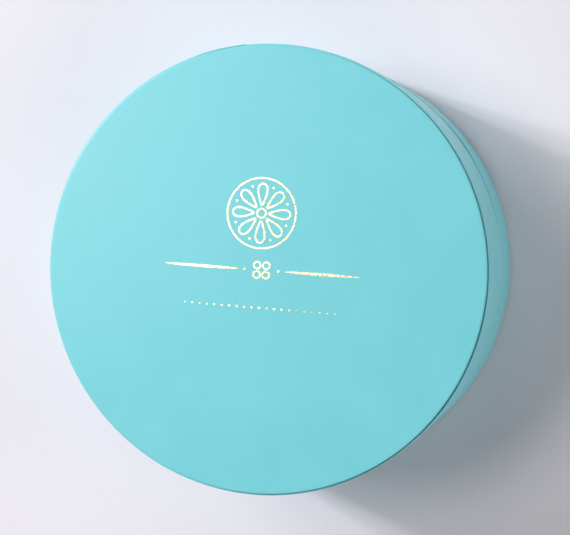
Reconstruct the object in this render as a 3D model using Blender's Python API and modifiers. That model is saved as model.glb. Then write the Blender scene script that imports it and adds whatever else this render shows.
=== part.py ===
"""Round rigid jewellery box: a wrapped lid that slips over an inner neck, with a velvet insert.

Metres, +Z up. The origin is the centre of the underside, where the box stands.
Boards and papers are turned round the box's axis. A sheet is drawn as the path of its visible
face, and its thickness grows from there towards the board that it covers.
"""

import math
from dataclasses import dataclass

import bmesh
import bpy
from mathutils import Matrix, Vector

# Outer form
OUTER_DIAMETER = 0.1200
BOX_HEIGHT = 0.0600
JOINT_HEIGHT = 0.0260  # table to the middle of the joint between base and lid
JOINT_GAP = 0.0003

# Sheet and board stock
PAPER = 0.00025
TUBE_WALL = 0.0018  # wound tube that both the lid and the base are cut from
DISC_BOARD = 0.0015
NECK_WALL = 0.0012
SPACER_WALL = 0.0030
PAD_CARD = 0.0010
INSERT_CARD = 0.0015
SATIN = 0.0003
VELVET = 0.0005
RIBBON = 0.0004

# Clearances
GLUE_GAP = 0.0003  # left between two pieces that are pasted together
SLIP_GAP = 0.0003  # between the neck and what slips over it
SEAT_GAP = 0.0003  # between the insert and the ring that it rests on
PAD_SIDE_GAP = 0.0006  # between the lid's pad and the lid's wall
INSERT_SIDE_GAP = 0.0008  # between the insert and the neck
ROLL_GAP = 0.0004  # round each ring roll
OVERRUN = 0.0020  # how far a cutter runs past what it cuts

# Folds and turned edges
FOLD_CORE = 0.00025  # inner radius of a fold in paper
TOP_EDGE_CORE = 0.00035  # inner radius of the top sheet's edge
TOP_TURN_DOWN = 0.0080
SIDE_WRAP_DROP = 0.00025  # side strip's upper edge below the top
LID_TURN_IN = 0.0100
BASE_TURN_IN = 0.0100
BASE_TURN_UNDER = 0.0080
BOTTOM_PAPER_INSET = 0.0030
TAPE_UP = 0.0100
TAPE_UNDER = 0.0090

# Neck and spacer
NECK_RISE = 0.0140  # above the joint
NECK_WRAP_TUCK = 0.0120  # neck paper below the joint, outside
SPACER_HEIGHT = 0.0130

# Pads
LID_PAD_HEIGHT = 0.0026
LID_PAD_SHOULDER = 0.0016
LID_PAD_RISE = 0.0010
LID_PAD_DRAW = 0.0002
SATIN_TURN_OVER = 0.0080
INSERT_HEIGHT = 0.0085
INSERT_SHOULDER = 0.0040
INSERT_RISE = 0.0018
INSERT_DRAW = 0.0004
VELVET_TURN_UNDER = 0.0085
VELVET_CORE = 0.0003  # inner radius of the velvet's fold round the card

# Ring rolls in the insert's window
ROLL_LENGTH = 0.0340
ROLL_WIDTH = 0.0090
ROLL_EDGE = 0.0034
ROLL_SLIT = 0.0010
ROLL_PROUD = 0.0006  # roll's top above the middle of the pad
WINDOW_CORNER = 0.0026

# Chain slits at the insert's back edge
CHAIN_SLIT_WIDTH = 0.0014
CHAIN_SLIT_DEPTH = 0.0060
CHAIN_SLIT_DEGREES = 32.0  # each side of the back

# Pull ribbon
RIBBON_WIDTH = 0.0100
RIBBON_FOOT = 0.0080
RIBBON_TAB = 0.0190
RIBBON_BEND = 0.0020
RIBBON_TILT_DEGREES = 14.0
RIBBON_STAND = 0.0010  # straight run above the velvet
RIBBON_SLIT_GAP = 0.0004
RIBBON_INSET = 0.0115  # from the insert's edge to the slit

# Facets
SEGMENTS = 48
FOLD_STEPS = 2
CROWN_STEPS = 2
SHOULDER_STEPS = 3
ROLL_STEPS = 3
MERGE_DISTANCE = 0.00001
SHARP_DEGREES = 35.0

# Radii, from the outside in
WRAP_RADIUS = OUTER_DIAMETER / 2
UNDERLAY_RADIUS = WRAP_RADIUS - PAPER - GLUE_GAP  # turned-down top sheet, stay tape
TUBE_RADIUS = UNDERLAY_RADIUS - PAPER - GLUE_GAP
TUBE_BORE = TUBE_RADIUS - TUBE_WALL
LINING_RADIUS = TUBE_BORE - GLUE_GAP - PAPER  # visible face of turn-ins and of the lid's lining
NECK_WRAP_RADIUS = LINING_RADIUS - SLIP_GAP
NECK_RADIUS = NECK_WRAP_RADIUS - PAPER - GLUE_GAP
NECK_BORE = NECK_RADIUS - NECK_WALL
INSIDE_RADIUS = NECK_BORE - GLUE_GAP - PAPER  # visible face of the neck's paper inside

# Heights, from the table up
WRAP_UNDERSIDE = PAPER + GLUE_GAP
TAPE_UNDERSIDE = WRAP_UNDERSIDE + PAPER + GLUE_GAP
BOARD_UNDERSIDE = TAPE_UNDERSIDE + PAPER + GLUE_GAP
FLOOR_LINING_TOP = BOARD_UNDERSIDE + DISC_BOARD + GLUE_GAP + PAPER
INNER_FOOT = FLOOR_LINING_TOP + GLUE_GAP  # underside of the neck and of the spacer ring
BASE_RIM = JOINT_HEIGHT - JOINT_GAP / 2
NECK_TOP = JOINT_HEIGHT + NECK_RISE
LID_RIM = JOINT_HEIGHT + JOINT_GAP / 2
INSERT_SEAT = INNER_FOOT + SPACER_HEIGHT + SEAT_GAP

# Heights in the lid, from its rim up
LID_TOP = BOX_HEIGHT - LID_RIM
LID_BOARD_TOP = LID_TOP - PAPER - GLUE_GAP
LID_DISC_UNDERSIDE = LID_BOARD_TOP - DISC_BOARD
LID_TUBE_FOOT = PAPER + GLUE_GAP

# Heights in the insert, from its underside up
INSERT_CARD_UNDERSIDE = VELVET + GLUE_GAP
INSERT_CARD_TOP = INSERT_CARD_UNDERSIDE + INSERT_CARD
INSERT_FOAM_UNDERSIDE = INSERT_CARD_TOP + GLUE_GAP
INSERT_CROWN = INSERT_FOAM_UNDERSIDE + INSERT_HEIGHT + INSERT_RISE + GLUE_GAP + VELVET

Path = list[Vector]


@dataclass(frozen=True)
class Finish:
    """Colour as an sRGB hex code, with the values of a Principled surface."""

    colour: str
    roughness: float
    metallic: float = 0.0


COVER_PAPER = Finish("87D6DF", 0.72)
LINING_PAPER = Finish("F3F0EA", 0.80)
GREYBOARD = Finish("9B958A", 0.92)
STAY_TAPE = Finish("B99A6E", 0.70)
FOAM = Finish("EFEDE6", 0.95)
IVORY_SATIN = Finish("EDE6D8", 0.38)
IVORY_VELVET = Finish("E4DACA", 0.95)
BLUE_SATIN = Finish("7CCAD4", 0.36)


@dataclass(frozen=True)
class PadForm:
    """A padded disc in section: a low crown, a round shoulder and a side drawn in to its foot.

    Heights run up from the foot. The crown meets the shoulder's arc, and the shoulder's arc
    meets the side, without a corner.
    """

    radius: float
    height: float  # foot to the top of the shoulder
    shoulder: float
    rise: float  # crown above the shoulder
    draw: float  # foot inside the widest radius

    @property
    def foot_radius(self) -> float:
        """Radius of the foam's foot, and of the card behind it."""
        return self.radius - self.draw

    def outline(self, cover: float) -> Path:
        """Points from the middle of the crown out and down to the foot.

        Args:
            cover: distance that the outline is moved out from the foam's face.

        Returns:
            The section's points, radius first, height second.
        """
        centre = Vector((self.radius - self.shoulder, self.height - self.shoulder))
        lean = 2 * math.atan2(self.rise, centre.x)
        crown_centre = Vector((0, centre.y - centre.x / math.tan(lean)))
        crown_radius = centre.x / math.sin(lean) + self.shoulder + cover

        foot = Vector((self.foot_radius, 0))
        to_foot = foot - centre
        side = math.atan2(to_foot.y, to_foot.x) + math.acos(self.shoulder / to_foot.length)

        crown = arc(crown_centre, crown_radius, math.pi / 2, math.pi / 2 - lean, CROWN_STEPS)
        edge = arc(centre, self.shoulder + cover, math.pi / 2 - lean, side, SHOULDER_STEPS)
        return crown[:-1] + edge + [foot + cover * Vector((math.cos(side), math.sin(side)))]


def arc(centre: Vector, radius: float, start: float, end: float, steps: int) -> Path:
    """Points along an arc between two angles in radians, both ends included."""
    angles = [start + (end - start) * step / steps for step in range(steps + 1)]
    return [centre + radius * Vector((math.cos(angle), math.sin(angle))) for angle in angles]


def folded(corners: list[tuple[float, float]], radius: float) -> Path:
    """Round the inner corners of a path, as a sheet folds over a board.

    Args:
        corners: the path's ends and corners, radius first, height second.
        radius: radius of each fold on the sheet's visible face.

    Returns:
        The path's points, with an arc in place of each inner corner.
    """
    points = [Vector(corner) for corner in corners]
    path = [points[0]]
    for before, corner, after in zip(points, points[1:], points[2:]):
        back = (before - corner).normalized()
        ahead = (after - corner).normalized()
        half = back.angle(ahead) / 2
        centre = corner + (back + ahead).normalized() * (radius / math.sin(half))
        first = (corner + back * (radius / math.tan(half)) - centre).normalized()
        last = (corner + ahead * (radius / math.tan(half)) - centre).normalized()
        path += [centre + radius * first.slerp(last, step / FOLD_STEPS) for step in range(FOLD_STEPS + 1)]
    return path + [points[-1]]


def linear_colour(code: str) -> tuple[float, float, float, float]:
    """Linear RGBA from an sRGB hex code."""
    shares = [int(code[place:place + 2], 16) / 255 for place in (0, 2, 4)]
    linear = [share / 12.92 if share <= 0.04045 else ((share + 0.055) / 1.055) ** 2.4 for share in shares]
    return (*linear, 1.0)


def new_collection(name: str) -> bpy.types.Collection:
    """Make a collection in the scene."""
    collection = bpy.data.collections.new(name)
    bpy.context.scene.collection.children.link(collection)
    return collection


def new_empty(name: str, height: float, parent: bpy.types.Object | None = None) -> bpy.types.Object:
    """Make an empty on the box's axis, which a sub-assembly hangs from."""
    empty = bpy.data.objects.new(name, None)
    empty.location.z = height
    empty.parent = parent
    PARTS.objects.link(empty)
    return empty


def add_piece(name: str, mesh: bpy.types.Mesh, finish: Finish, frame: bpy.types.Object) -> bpy.types.Object:
    """Add a mesh as a named piece with a material of its own, hung from its sub-assembly's empty."""
    piece = bpy.data.objects.new(name, mesh)
    piece.parent = frame
    PARTS.objects.link(piece)

    material = bpy.data.materials.new(f"{name}_finish")
    material.use_nodes = True
    surface = material.node_tree.nodes["Principled BSDF"]
    surface.inputs["Base Color"].default_value = linear_colour(finish.colour)
    surface.inputs["Roughness"].default_value = finish.roughness
    surface.inputs["Metallic"].default_value = finish.metallic
    mesh.materials.append(material)
    return piece


def turn(name: str, path: Path, finish: Finish, frame: bpy.types.Object, sheet: float = 0.0) -> bpy.types.Object:
    """Turn a path round the box's axis, and give an open surface its sheet's thickness.

    Args:
        name: the piece's name.
        path: points, radius first, that run down the piece's outer side.
        finish: the piece's surface.
        frame: the empty that the piece hangs from.
        sheet: thickness behind the path's face, or zero where the path closes on the axis.

    Returns:
        The new piece.
    """
    mesh = bpy.data.meshes.new(name)
    mesh.from_pydata([(x, 0, z) for x, z in path], [(at, at + 1) for at in range(len(path) - 1)], [])
    piece = add_piece(name, mesh, finish, frame)

    screw = piece.modifiers.new("turn", "SCREW")
    screw.steps = screw.render_steps = SEGMENTS
    screw.use_merge_vertices = True
    screw.merge_threshold = MERGE_DISTANCE
    if sheet:
        solidify = piece.modifiers.new("sheet", "SOLIDIFY")
        solidify.thickness = sheet
        solidify.offset = -1
        solidify.use_even_offset = True
    return piece


def disc(name: str, radius: float, top: float, board: float, finish: Finish, frame: bpy.types.Object) -> bpy.types.Object:
    """Turn a flat disc whose upper face is at a height."""
    return turn(name, [Vector((0, top)), Vector((radius, top))], finish, frame, board)


def tube(name: str, radius: float, top: float, foot: float, wall: float, finish: Finish, frame: bpy.types.Object) -> bpy.types.Object:
    """Turn a plain tube from its outer radius and its two ends."""
    return turn(name, [Vector((radius, top)), Vector((radius, foot))], finish, frame, wall)


def block_mesh(name: str, size: Vector, edge: float, steps: int, upright_only: bool) -> bpy.types.Mesh:
    """Make a block with rounded edges, centred on its own origin.

    Args:
        name: the mesh's name.
        size: length along each axis.
        edge: radius of the rounded edges.
        steps: facets round each edge.
        upright_only: round only the four upright edges.

    Returns:
        The block's mesh.
    """
    shape = bmesh.new()
    bmesh.ops.create_cube(shape, size=1)
    bmesh.ops.scale(shape, vec=size, verts=shape.verts)
    edges = [line for line in shape.edges if not upright_only or is_upright(line)]
    bmesh.ops.bevel(shape, geom=edges, offset=edge, segments=steps, profile=0.5, affect="EDGES")
    mesh = bpy.data.meshes.new(name)
    shape.to_mesh(mesh)
    shape.free()
    return mesh


def is_upright(line: bmesh.types.BMEdge) -> bool:
    """Tell whether an edge runs along Z."""
    first, last = (vertex.co for vertex in line.verts)
    return math.isclose(first.x, last.x) and math.isclose(first.y, last.y)


def add_cutter(name: str, mesh: bpy.types.Mesh, place: Matrix, frame: bpy.types.Object) -> bpy.types.Object:
    """Add a cutter, which is seen as wires and never rendered."""
    cutter = bpy.data.objects.new(name, mesh)
    cutter.parent = frame
    cutter.matrix_local = place
    cutter.hide_render = True
    cutter.display_type = "WIRE"
    CUTTERS.objects.link(cutter)
    return cutter


def cut(piece: bpy.types.Object, cutters: list[bpy.types.Object]) -> None:
    """Cut a piece with each of the cutters."""
    for cutter in cutters:
        boolean = piece.modifiers.new(cutter.name, "BOOLEAN")
        boolean.operation = "DIFFERENCE"
        boolean.solver = "EXACT"
        boolean.object = cutter


def settle(pieces: list[bpy.types.Object]) -> None:
    """Put each piece's finished shape in its mesh, smooth where it is round and sharp at its edges."""
    view = bpy.context.evaluated_depsgraph_get()
    finished = {piece: bpy.data.meshes.new_from_object(piece.evaluated_get(view)) for piece in pieces}
    for piece, mesh in finished.items():
        piece.modifiers.clear()
        piece.data = mesh
        mesh.name = piece.name
        mesh.shade_smooth()
        mesh.set_sharp_from_angle(angle=math.radians(SHARP_DEGREES))


def build_base(frame: bpy.types.Object) -> None:
    """Base: tube and disc held by tape, wrapped and lined, with the neck and the spacer ring inside."""
    fold = PAPER + FOLD_CORE
    tube("base_tube", TUBE_RADIUS, BASE_RIM - PAPER - GLUE_GAP, BOARD_UNDERSIDE, TUBE_WALL, GREYBOARD, frame)
    disc("base_disc", TUBE_BORE - GLUE_GAP, BOARD_UNDERSIDE + DISC_BOARD, DISC_BOARD, GREYBOARD, frame)

    tape = [
        (UNDERLAY_RADIUS, TAPE_UNDERSIDE + TAPE_UP),
        (UNDERLAY_RADIUS, TAPE_UNDERSIDE),
        (UNDERLAY_RADIUS - TAPE_UNDER, TAPE_UNDERSIDE),
    ]
    turn("base_stay_tape", folded(tape, fold), STAY_TAPE, frame, PAPER)

    wrap = [
        (LINING_RADIUS, BASE_RIM - BASE_TURN_IN),
        (LINING_RADIUS, BASE_RIM),
        (WRAP_RADIUS, BASE_RIM),
        (WRAP_RADIUS, WRAP_UNDERSIDE),
        (WRAP_RADIUS - BASE_TURN_UNDER, WRAP_UNDERSIDE),
    ]
    turn("base_side_wrap", folded(wrap, fold), COVER_PAPER, frame, PAPER)

    disc("base_bottom_paper", WRAP_RADIUS - BOTTOM_PAPER_INSET, PAPER, PAPER, COVER_PAPER, frame)
    disc("base_floor_lining", TUBE_BORE - GLUE_GAP, FLOOR_LINING_TOP, PAPER, LINING_PAPER, frame)

    tube("neck_tube", NECK_RADIUS, NECK_TOP - PAPER - GLUE_GAP, INNER_FOOT, NECK_WALL, GREYBOARD, frame)
    neck_wrap = [
        (INSIDE_RADIUS, INNER_FOOT),
        (INSIDE_RADIUS, NECK_TOP),
        (NECK_WRAP_RADIUS, NECK_TOP),
        (NECK_WRAP_RADIUS, JOINT_HEIGHT - NECK_WRAP_TUCK),
    ]
    turn("neck_wrap", folded(neck_wrap, fold), LINING_PAPER, frame, PAPER)

    tube("spacer_ring", INSIDE_RADIUS - GLUE_GAP, INNER_FOOT + SPACER_HEIGHT, INNER_FOOT, SPACER_WALL, GREYBOARD, frame)


def build_lid(frame: bpy.types.Object) -> None:
    """Lid: tube and disc under a turned-down top sheet and a side strip, lined and padded inside."""
    tube("lid_tube", TUBE_RADIUS, LID_BOARD_TOP, LID_TUBE_FOOT, TUBE_WALL, GREYBOARD, frame)
    disc("lid_disc", TUBE_BORE - GLUE_GAP, LID_BOARD_TOP, DISC_BOARD, GREYBOARD, frame)

    top = [(0, LID_TOP), (UNDERLAY_RADIUS, LID_TOP), (UNDERLAY_RADIUS, LID_TOP - TOP_TURN_DOWN)]
    turn("lid_top_paper", folded(top, PAPER + TOP_EDGE_CORE), COVER_PAPER, frame, PAPER)

    wrap = [
        (WRAP_RADIUS, LID_TOP - SIDE_WRAP_DROP),
        (WRAP_RADIUS, 0),
        (LINING_RADIUS, 0),
        (LINING_RADIUS, LID_TURN_IN),
    ]
    turn("lid_side_wrap", folded(wrap, PAPER + FOLD_CORE), COVER_PAPER, frame, PAPER)

    lining_top = LID_DISC_UNDERSIDE - GLUE_GAP
    lining_foot = LID_TURN_IN + GLUE_GAP
    tube("lid_wall_lining", TUBE_BORE - GLUE_GAP, lining_top, lining_foot, PAPER, LINING_PAPER, frame)
    build_lid_pad(frame)


def build_lid_pad(frame: bpy.types.Object) -> None:
    """Lid pad: foam on a card, crown down, under satin that is turned over the card's back."""
    cover = GLUE_GAP + SATIN
    back = LID_DISC_UNDERSIDE - GLUE_GAP
    card_top = back - SATIN - GLUE_GAP
    foam_top = card_top - PAD_CARD - GLUE_GAP
    form = PadForm(LINING_RADIUS - PAD_SIDE_GAP - cover, LID_PAD_HEIGHT, LID_PAD_SHOULDER, LID_PAD_RISE, LID_PAD_DRAW)
    disc("lid_pad_card", form.foot_radius, card_top, PAD_CARD, GREYBOARD, frame)

    foam = [Vector((0, foam_top))] + hang(form.outline(0), foam_top)
    turn("lid_pad_foam", foam, FOAM, frame)

    edge = form.foot_radius + cover
    turned_over = folded([(edge - SATIN_TURN_OVER, back), (edge, back), (edge, card_top - PAD_CARD)], SATIN + FOLD_CORE)
    turn("lid_pad_satin", turned_over + hang(form.outline(cover), foam_top), IVORY_SATIN, frame, SATIN)


def hang(outline: Path, top: float) -> Path:
    """Turn a pad's outline upside down, with its foot at a height, so that it still runs downwards."""
    return [Vector((point.x, top - point.y)) for point in reversed(outline)]


def build_insert(frame: bpy.types.Object) -> None:
    """Insert: velvet over foam on a card, with a window for the ring rolls and slits at its edge."""
    cover = GLUE_GAP + VELVET
    form = PadForm(INSIDE_RADIUS - INSERT_SIDE_GAP - cover, INSERT_HEIGHT, INSERT_SHOULDER, INSERT_RISE, INSERT_DRAW)
    card = disc("insert_card", form.foot_radius, INSERT_CARD_TOP, INSERT_CARD, GREYBOARD, frame)

    lift = Vector((0, INSERT_FOAM_UNDERSIDE))
    foam_path = [point + lift for point in form.outline(0)] + [lift]
    foam = turn("insert_foam", foam_path, FOAM, frame)

    edge = form.foot_radius + cover
    over = [point + lift for point in form.outline(cover)]
    under = folded([over[-1], (edge, 0), (edge - VELVET_TURN_UNDER, 0)], VELVET + VELVET_CORE)
    velvet = turn("insert_velvet", over[:-1] + under, IVORY_VELVET, frame, VELVET)

    window = cut_window(frame)
    ribbon_place = form.radius + cover - RIBBON_INSET
    ribbon_slit = cut_ribbon_slit(ribbon_place, frame)
    chain_slits = cut_chain_slits(form.radius + cover, frame)
    cut(card, [ribbon_slit, *chain_slits])
    cut(foam, [window, ribbon_slit, *chain_slits])
    cut(velvet, [window, ribbon_slit, *chain_slits])

    build_ring_rolls(frame)
    build_ribbon(ribbon_place, frame)


def cut_window(frame: bpy.types.Object) -> bpy.types.Object:
    """Window that the ring rolls stand in, down to the card."""
    length = ROLL_LENGTH + 2 * ROLL_GAP
    width = 2 * (ROLL_WIDTH + ROLL_GAP) + ROLL_SLIT
    top = INSERT_CROWN + OVERRUN
    foot = INSERT_FOAM_UNDERSIDE - GLUE_GAP / 2
    mesh = block_mesh("window", Vector((length, width, top - foot)), WINDOW_CORNER, FOLD_STEPS, upright_only=True)
    return add_cutter("window", mesh, Matrix.Translation((0, 0, (top + foot) / 2)), frame)


def cut_ribbon_slit(place: float, frame: bpy.types.Object) -> bpy.types.Object:
    """Slit through velvet, foam and card for the pull ribbon."""
    size = Vector((RIBBON_WIDTH + 2 * RIBBON_SLIT_GAP, RIBBON + 2 * RIBBON_SLIT_GAP, INSERT_CROWN + 2 * OVERRUN))
    mesh = block_mesh("ribbon_slit", size, RIBBON_SLIT_GAP / 2, 1, upright_only=True)
    return add_cutter("ribbon_slit", mesh, Matrix.Translation((0, -place, INSERT_CROWN / 2)), frame)


def cut_chain_slits(edge: float, frame: bpy.types.Object) -> list[bpy.types.Object]:
    """Two slits in the back edge, which hold a chain behind the card."""
    size = Vector((CHAIN_SLIT_WIDTH, CHAIN_SLIT_DEPTH + OVERRUN, INSERT_CROWN + 2 * OVERRUN))
    mesh = block_mesh("chain_slit", size, CHAIN_SLIT_WIDTH / 3, FOLD_STEPS, upright_only=True)
    middle = edge + (OVERRUN - CHAIN_SLIT_DEPTH) / 2
    cutters = []
    for side, name in ((-1, "chain_slit_right"), (1, "chain_slit_left")):
        turned = Matrix.Rotation(math.radians(side * CHAIN_SLIT_DEGREES), 4, "Z")
        cutters.append(add_cutter(name, mesh, turned @ Matrix.Translation((0, middle, INSERT_CROWN / 2)), frame))
    return cutters


def build_ring_rolls(frame: bpy.types.Object) -> None:
    """Two soft rolls side by side in the window, with the slit for a ring between them."""
    foot = INSERT_CARD_TOP + GLUE_GAP
    height = INSERT_CROWN + ROLL_PROUD - foot
    size = Vector((ROLL_LENGTH, ROLL_WIDTH, height))
    for side, name in ((-1, "ring_roll_front"), (1, "ring_roll_back")):
        mesh = block_mesh(name, size, ROLL_EDGE, ROLL_STEPS, upright_only=False)
        roll = add_piece(name, mesh, IVORY_VELVET, frame)
        roll.location = (0, side * (ROLL_WIDTH + ROLL_SLIT) / 2, foot + height / 2)


def build_ribbon(place: float, frame: bpy.types.Object) -> None:
    """Pull ribbon: a foot under the card, a run up through the slit and a tab over the velvet.

    Args:
        place: distance of the slit from the axis, towards the front.
        frame: the insert's empty.
    """
    foot_height = INSERT_CARD_UNDERSIDE - GLUE_GAP - RIBBON / 2
    bend_height = INSERT_CROWN + RIBBON_STAND + RIBBON_BEND
    tilt = math.radians(RIBBON_TILT_DEGREES)
    tab_end = (RIBBON_TAB * math.cos(tilt), bend_height + RIBBON_TAB * math.sin(tilt))
    corners = [(RIBBON_FOOT, foot_height), (0, foot_height), (0, bend_height), tab_end]
    path = folded(corners, RIBBON_BEND / 2)

    outline = bpy.data.curves.new("pull_ribbon", "CURVE")
    outline.dimensions = "2D"
    outline.fill_mode = "NONE"
    outline.extrude = RIBBON_WIDTH / 2
    spline = outline.splines.new("POLY")
    spline.points.add(len(path) - 1)
    for point, (along, height) in zip(spline.points, path):
        point.co = (along, height, 0, 1)

    curve = bpy.data.objects.new("pull_ribbon_path", outline)
    strip = bpy.data.meshes.new_from_object(curve)
    bpy.data.objects.remove(curve)
    ribbon = add_piece("pull_ribbon", strip, BLUE_SATIN, frame)
    ribbon.location.y = -place
    ribbon.rotation_euler = (math.pi / 2, 0, math.pi / 2)
    solidify = ribbon.modifiers.new("sheet", "SOLIDIFY")
    solidify.thickness = RIBBON
    solidify.offset = 0


for leftover in list(bpy.data.objects):
    bpy.data.objects.remove(leftover)

PARTS = new_collection("round_jewellery_box")
CUTTERS = new_collection("cutters")
base_frame = new_empty("base_frame", 0)
lid_frame = new_empty("lid_frame", LID_RIM, base_frame)
insert_frame = new_empty("insert_frame", INSERT_SEAT, base_frame)
build_base(base_frame)
build_lid(lid_frame)
build_insert(insert_frame)
bpy.context.view_layer.update()
settle([piece for piece in PARTS.objects if piece.type == "MESH"])
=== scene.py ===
"""Look of a round paper jewellery box: wrapped boards, a lined neck, padded satin and velvet.

Metres, +Z up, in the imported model's frame. A sheet of paper is drawn as the path of its visible
face, which runs so that the open side is on its left, and its thickness grows to its right.
"""

import logging
import math
from collections.abc import Callable, Iterable, Sequence
from dataclasses import dataclass
from enum import Enum

import bmesh
import bpy
import numpy as np
from bpy.types import Mesh, Node, NodeSocket, NodeTree, Object
from mathutils import Matrix, Vector


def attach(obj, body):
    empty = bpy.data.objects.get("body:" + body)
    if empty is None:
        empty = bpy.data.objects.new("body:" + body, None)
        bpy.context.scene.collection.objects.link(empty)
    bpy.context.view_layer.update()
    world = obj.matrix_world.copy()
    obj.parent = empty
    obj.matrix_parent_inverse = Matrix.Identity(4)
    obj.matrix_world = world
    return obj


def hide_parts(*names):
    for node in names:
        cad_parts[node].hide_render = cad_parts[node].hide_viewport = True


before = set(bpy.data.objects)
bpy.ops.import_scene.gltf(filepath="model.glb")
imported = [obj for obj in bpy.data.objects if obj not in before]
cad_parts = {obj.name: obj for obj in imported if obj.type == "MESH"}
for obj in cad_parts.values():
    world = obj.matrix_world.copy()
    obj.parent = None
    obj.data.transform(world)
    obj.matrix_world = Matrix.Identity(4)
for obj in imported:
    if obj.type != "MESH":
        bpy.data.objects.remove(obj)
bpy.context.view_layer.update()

LOG = logging.getLogger("jewellery_box")
FULL_TURN = 2 * math.pi

Outline = list[Vector]
Places = tuple[np.ndarray, np.ndarray]  # radii and heights
Inputs = dict[str | int, float | tuple | NodeSocket]
Warp = Callable[[np.ndarray, np.ndarray, np.ndarray], Places]


def mm(length: float) -> float:
    """Metres from millimetres."""
    return length / 1000


class Body(str, Enum):
    """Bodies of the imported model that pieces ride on."""

    BASE = "base"
    LID = "lid"
    INSERT = "insert"


# Materials


def linear(code: str) -> tuple[float, float, float, float]:
    """Linear red, green, blue and an alpha of one, from an sRGB hex code of six digits."""
    shares = [int(code[at:at + 2], 16) / 255 for at in (0, 2, 4)]
    return (*[s / 12.92 if s <= 0.04045 else ((s + 0.055) / 1.055) ** 2.4 for s in shares], 1.0)


def cells(place: NodeSocket, size_mm: float, **more: float) -> Inputs:
    """Inputs of a pattern at a place, whose cells are size_mm millimetres across."""
    return {"Vector": place, "Scale": 1000 / size_mm} | more


def feed(tree: NodeTree, node: Node, inputs: Inputs) -> None:
    """Set or link a node's inputs.

    Args:
        tree: the material's or world's node tree.
        node: the node.
        inputs: for each input, by name or number, a plain value or the output that feeds it.
    """
    for key, value in inputs.items():
        if isinstance(value, NodeSocket):
            tree.links.new(value, node.inputs[key])
        else:
            node.inputs[key].default_value = value


def add_node(
    tree: NodeTree, kind: str, inputs: Inputs, give: str | int = 0, **settings: str | bool
) -> NodeSocket:
    """Add a shader node with its settings and links.

    Args:
        tree: the material's or world's node tree.
        kind: the node's type, without the words ShaderNode.
        inputs: what its inputs get.
        give: the output that is wanted, by name or number.
        settings: the node's own properties.

    Returns:
        The wanted output.
    """
    node = tree.nodes.new(f"ShaderNode{kind}")
    for name, value in settings.items():
        setattr(node, name, value)
    feed(tree, node, inputs)
    return node.outputs[give]


# Numbers of the Mix node's colour sockets, which share their names with its other kinds'
MIX_A, MIX_B, MIX_RESULT = 6, 7, 2

# Share of a cell after which the wave texture's bands repeat
WAVE_PERIOD = 0.314

# The mesh attribute that is above zero where a fold is rubbed, and below zero where shade is painted along it
FOLD = "fold"


@dataclass(frozen=True)
class Finish:
    """What every finish has: a name, two tones that its pattern moves between, and its shine.

    name: the material's name, from the real material and how its surface was made.
    slot: the record's material slot; not used in this script.
    deep, pale: the pattern's two tones, as sRGB hex codes.
    roughness, roughness_swing: the middle of the surface's roughness and how far it moves each way.
    """

    name: str
    slot: str
    deep: str
    pale: str
    roughness: float
    roughness_swing: float

    def material(self) -> bpy.types.Material:
        """Make the finish's material, or find it if it is made already.

        Returns:
            The material.
        """
        found = bpy.data.materials.get(self.name)
        if found:
            return found
        made = bpy.data.materials.new(self.name)
        made.use_nodes = True
        tree = made.node_tree
        feed(tree, tree.nodes["Principled BSDF"], self.dress(tree, add_node(tree, "TexCoord", {}, "Object")))
        return made

    def dress(self, tree: NodeTree, place: NodeSocket) -> Inputs:
        """Make the finish's pattern in its tree at a place, and give the surface's inputs."""
        raise NotImplementedError

    def tones(self, tree: NodeTree, share: NodeSocket, gloss: NodeSocket) -> Inputs:
        """Mix the finish's two tones, and spread its roughness over its swing.

        Args:
            tree: the material's node tree.
            share: share of the paler tone, from 0 to 1.
            gloss: share of the rougher end, from 0 to 1.

        Returns:
            The surface's colour and roughness.
        """
        both = {0: share, MIX_A: linear(self.deep), MIX_B: linear(self.pale)}
        low, high = self.roughness - self.roughness_swing, self.roughness + self.roughness_swing
        return {
            "Base Color": add_node(tree, "Mix", both, MIX_RESULT, data_type="RGBA"),
            "Roughness": add_node(tree, "MapRange", {"Value": gloss, "To Min": low, "To Max": high}),
        }


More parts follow.
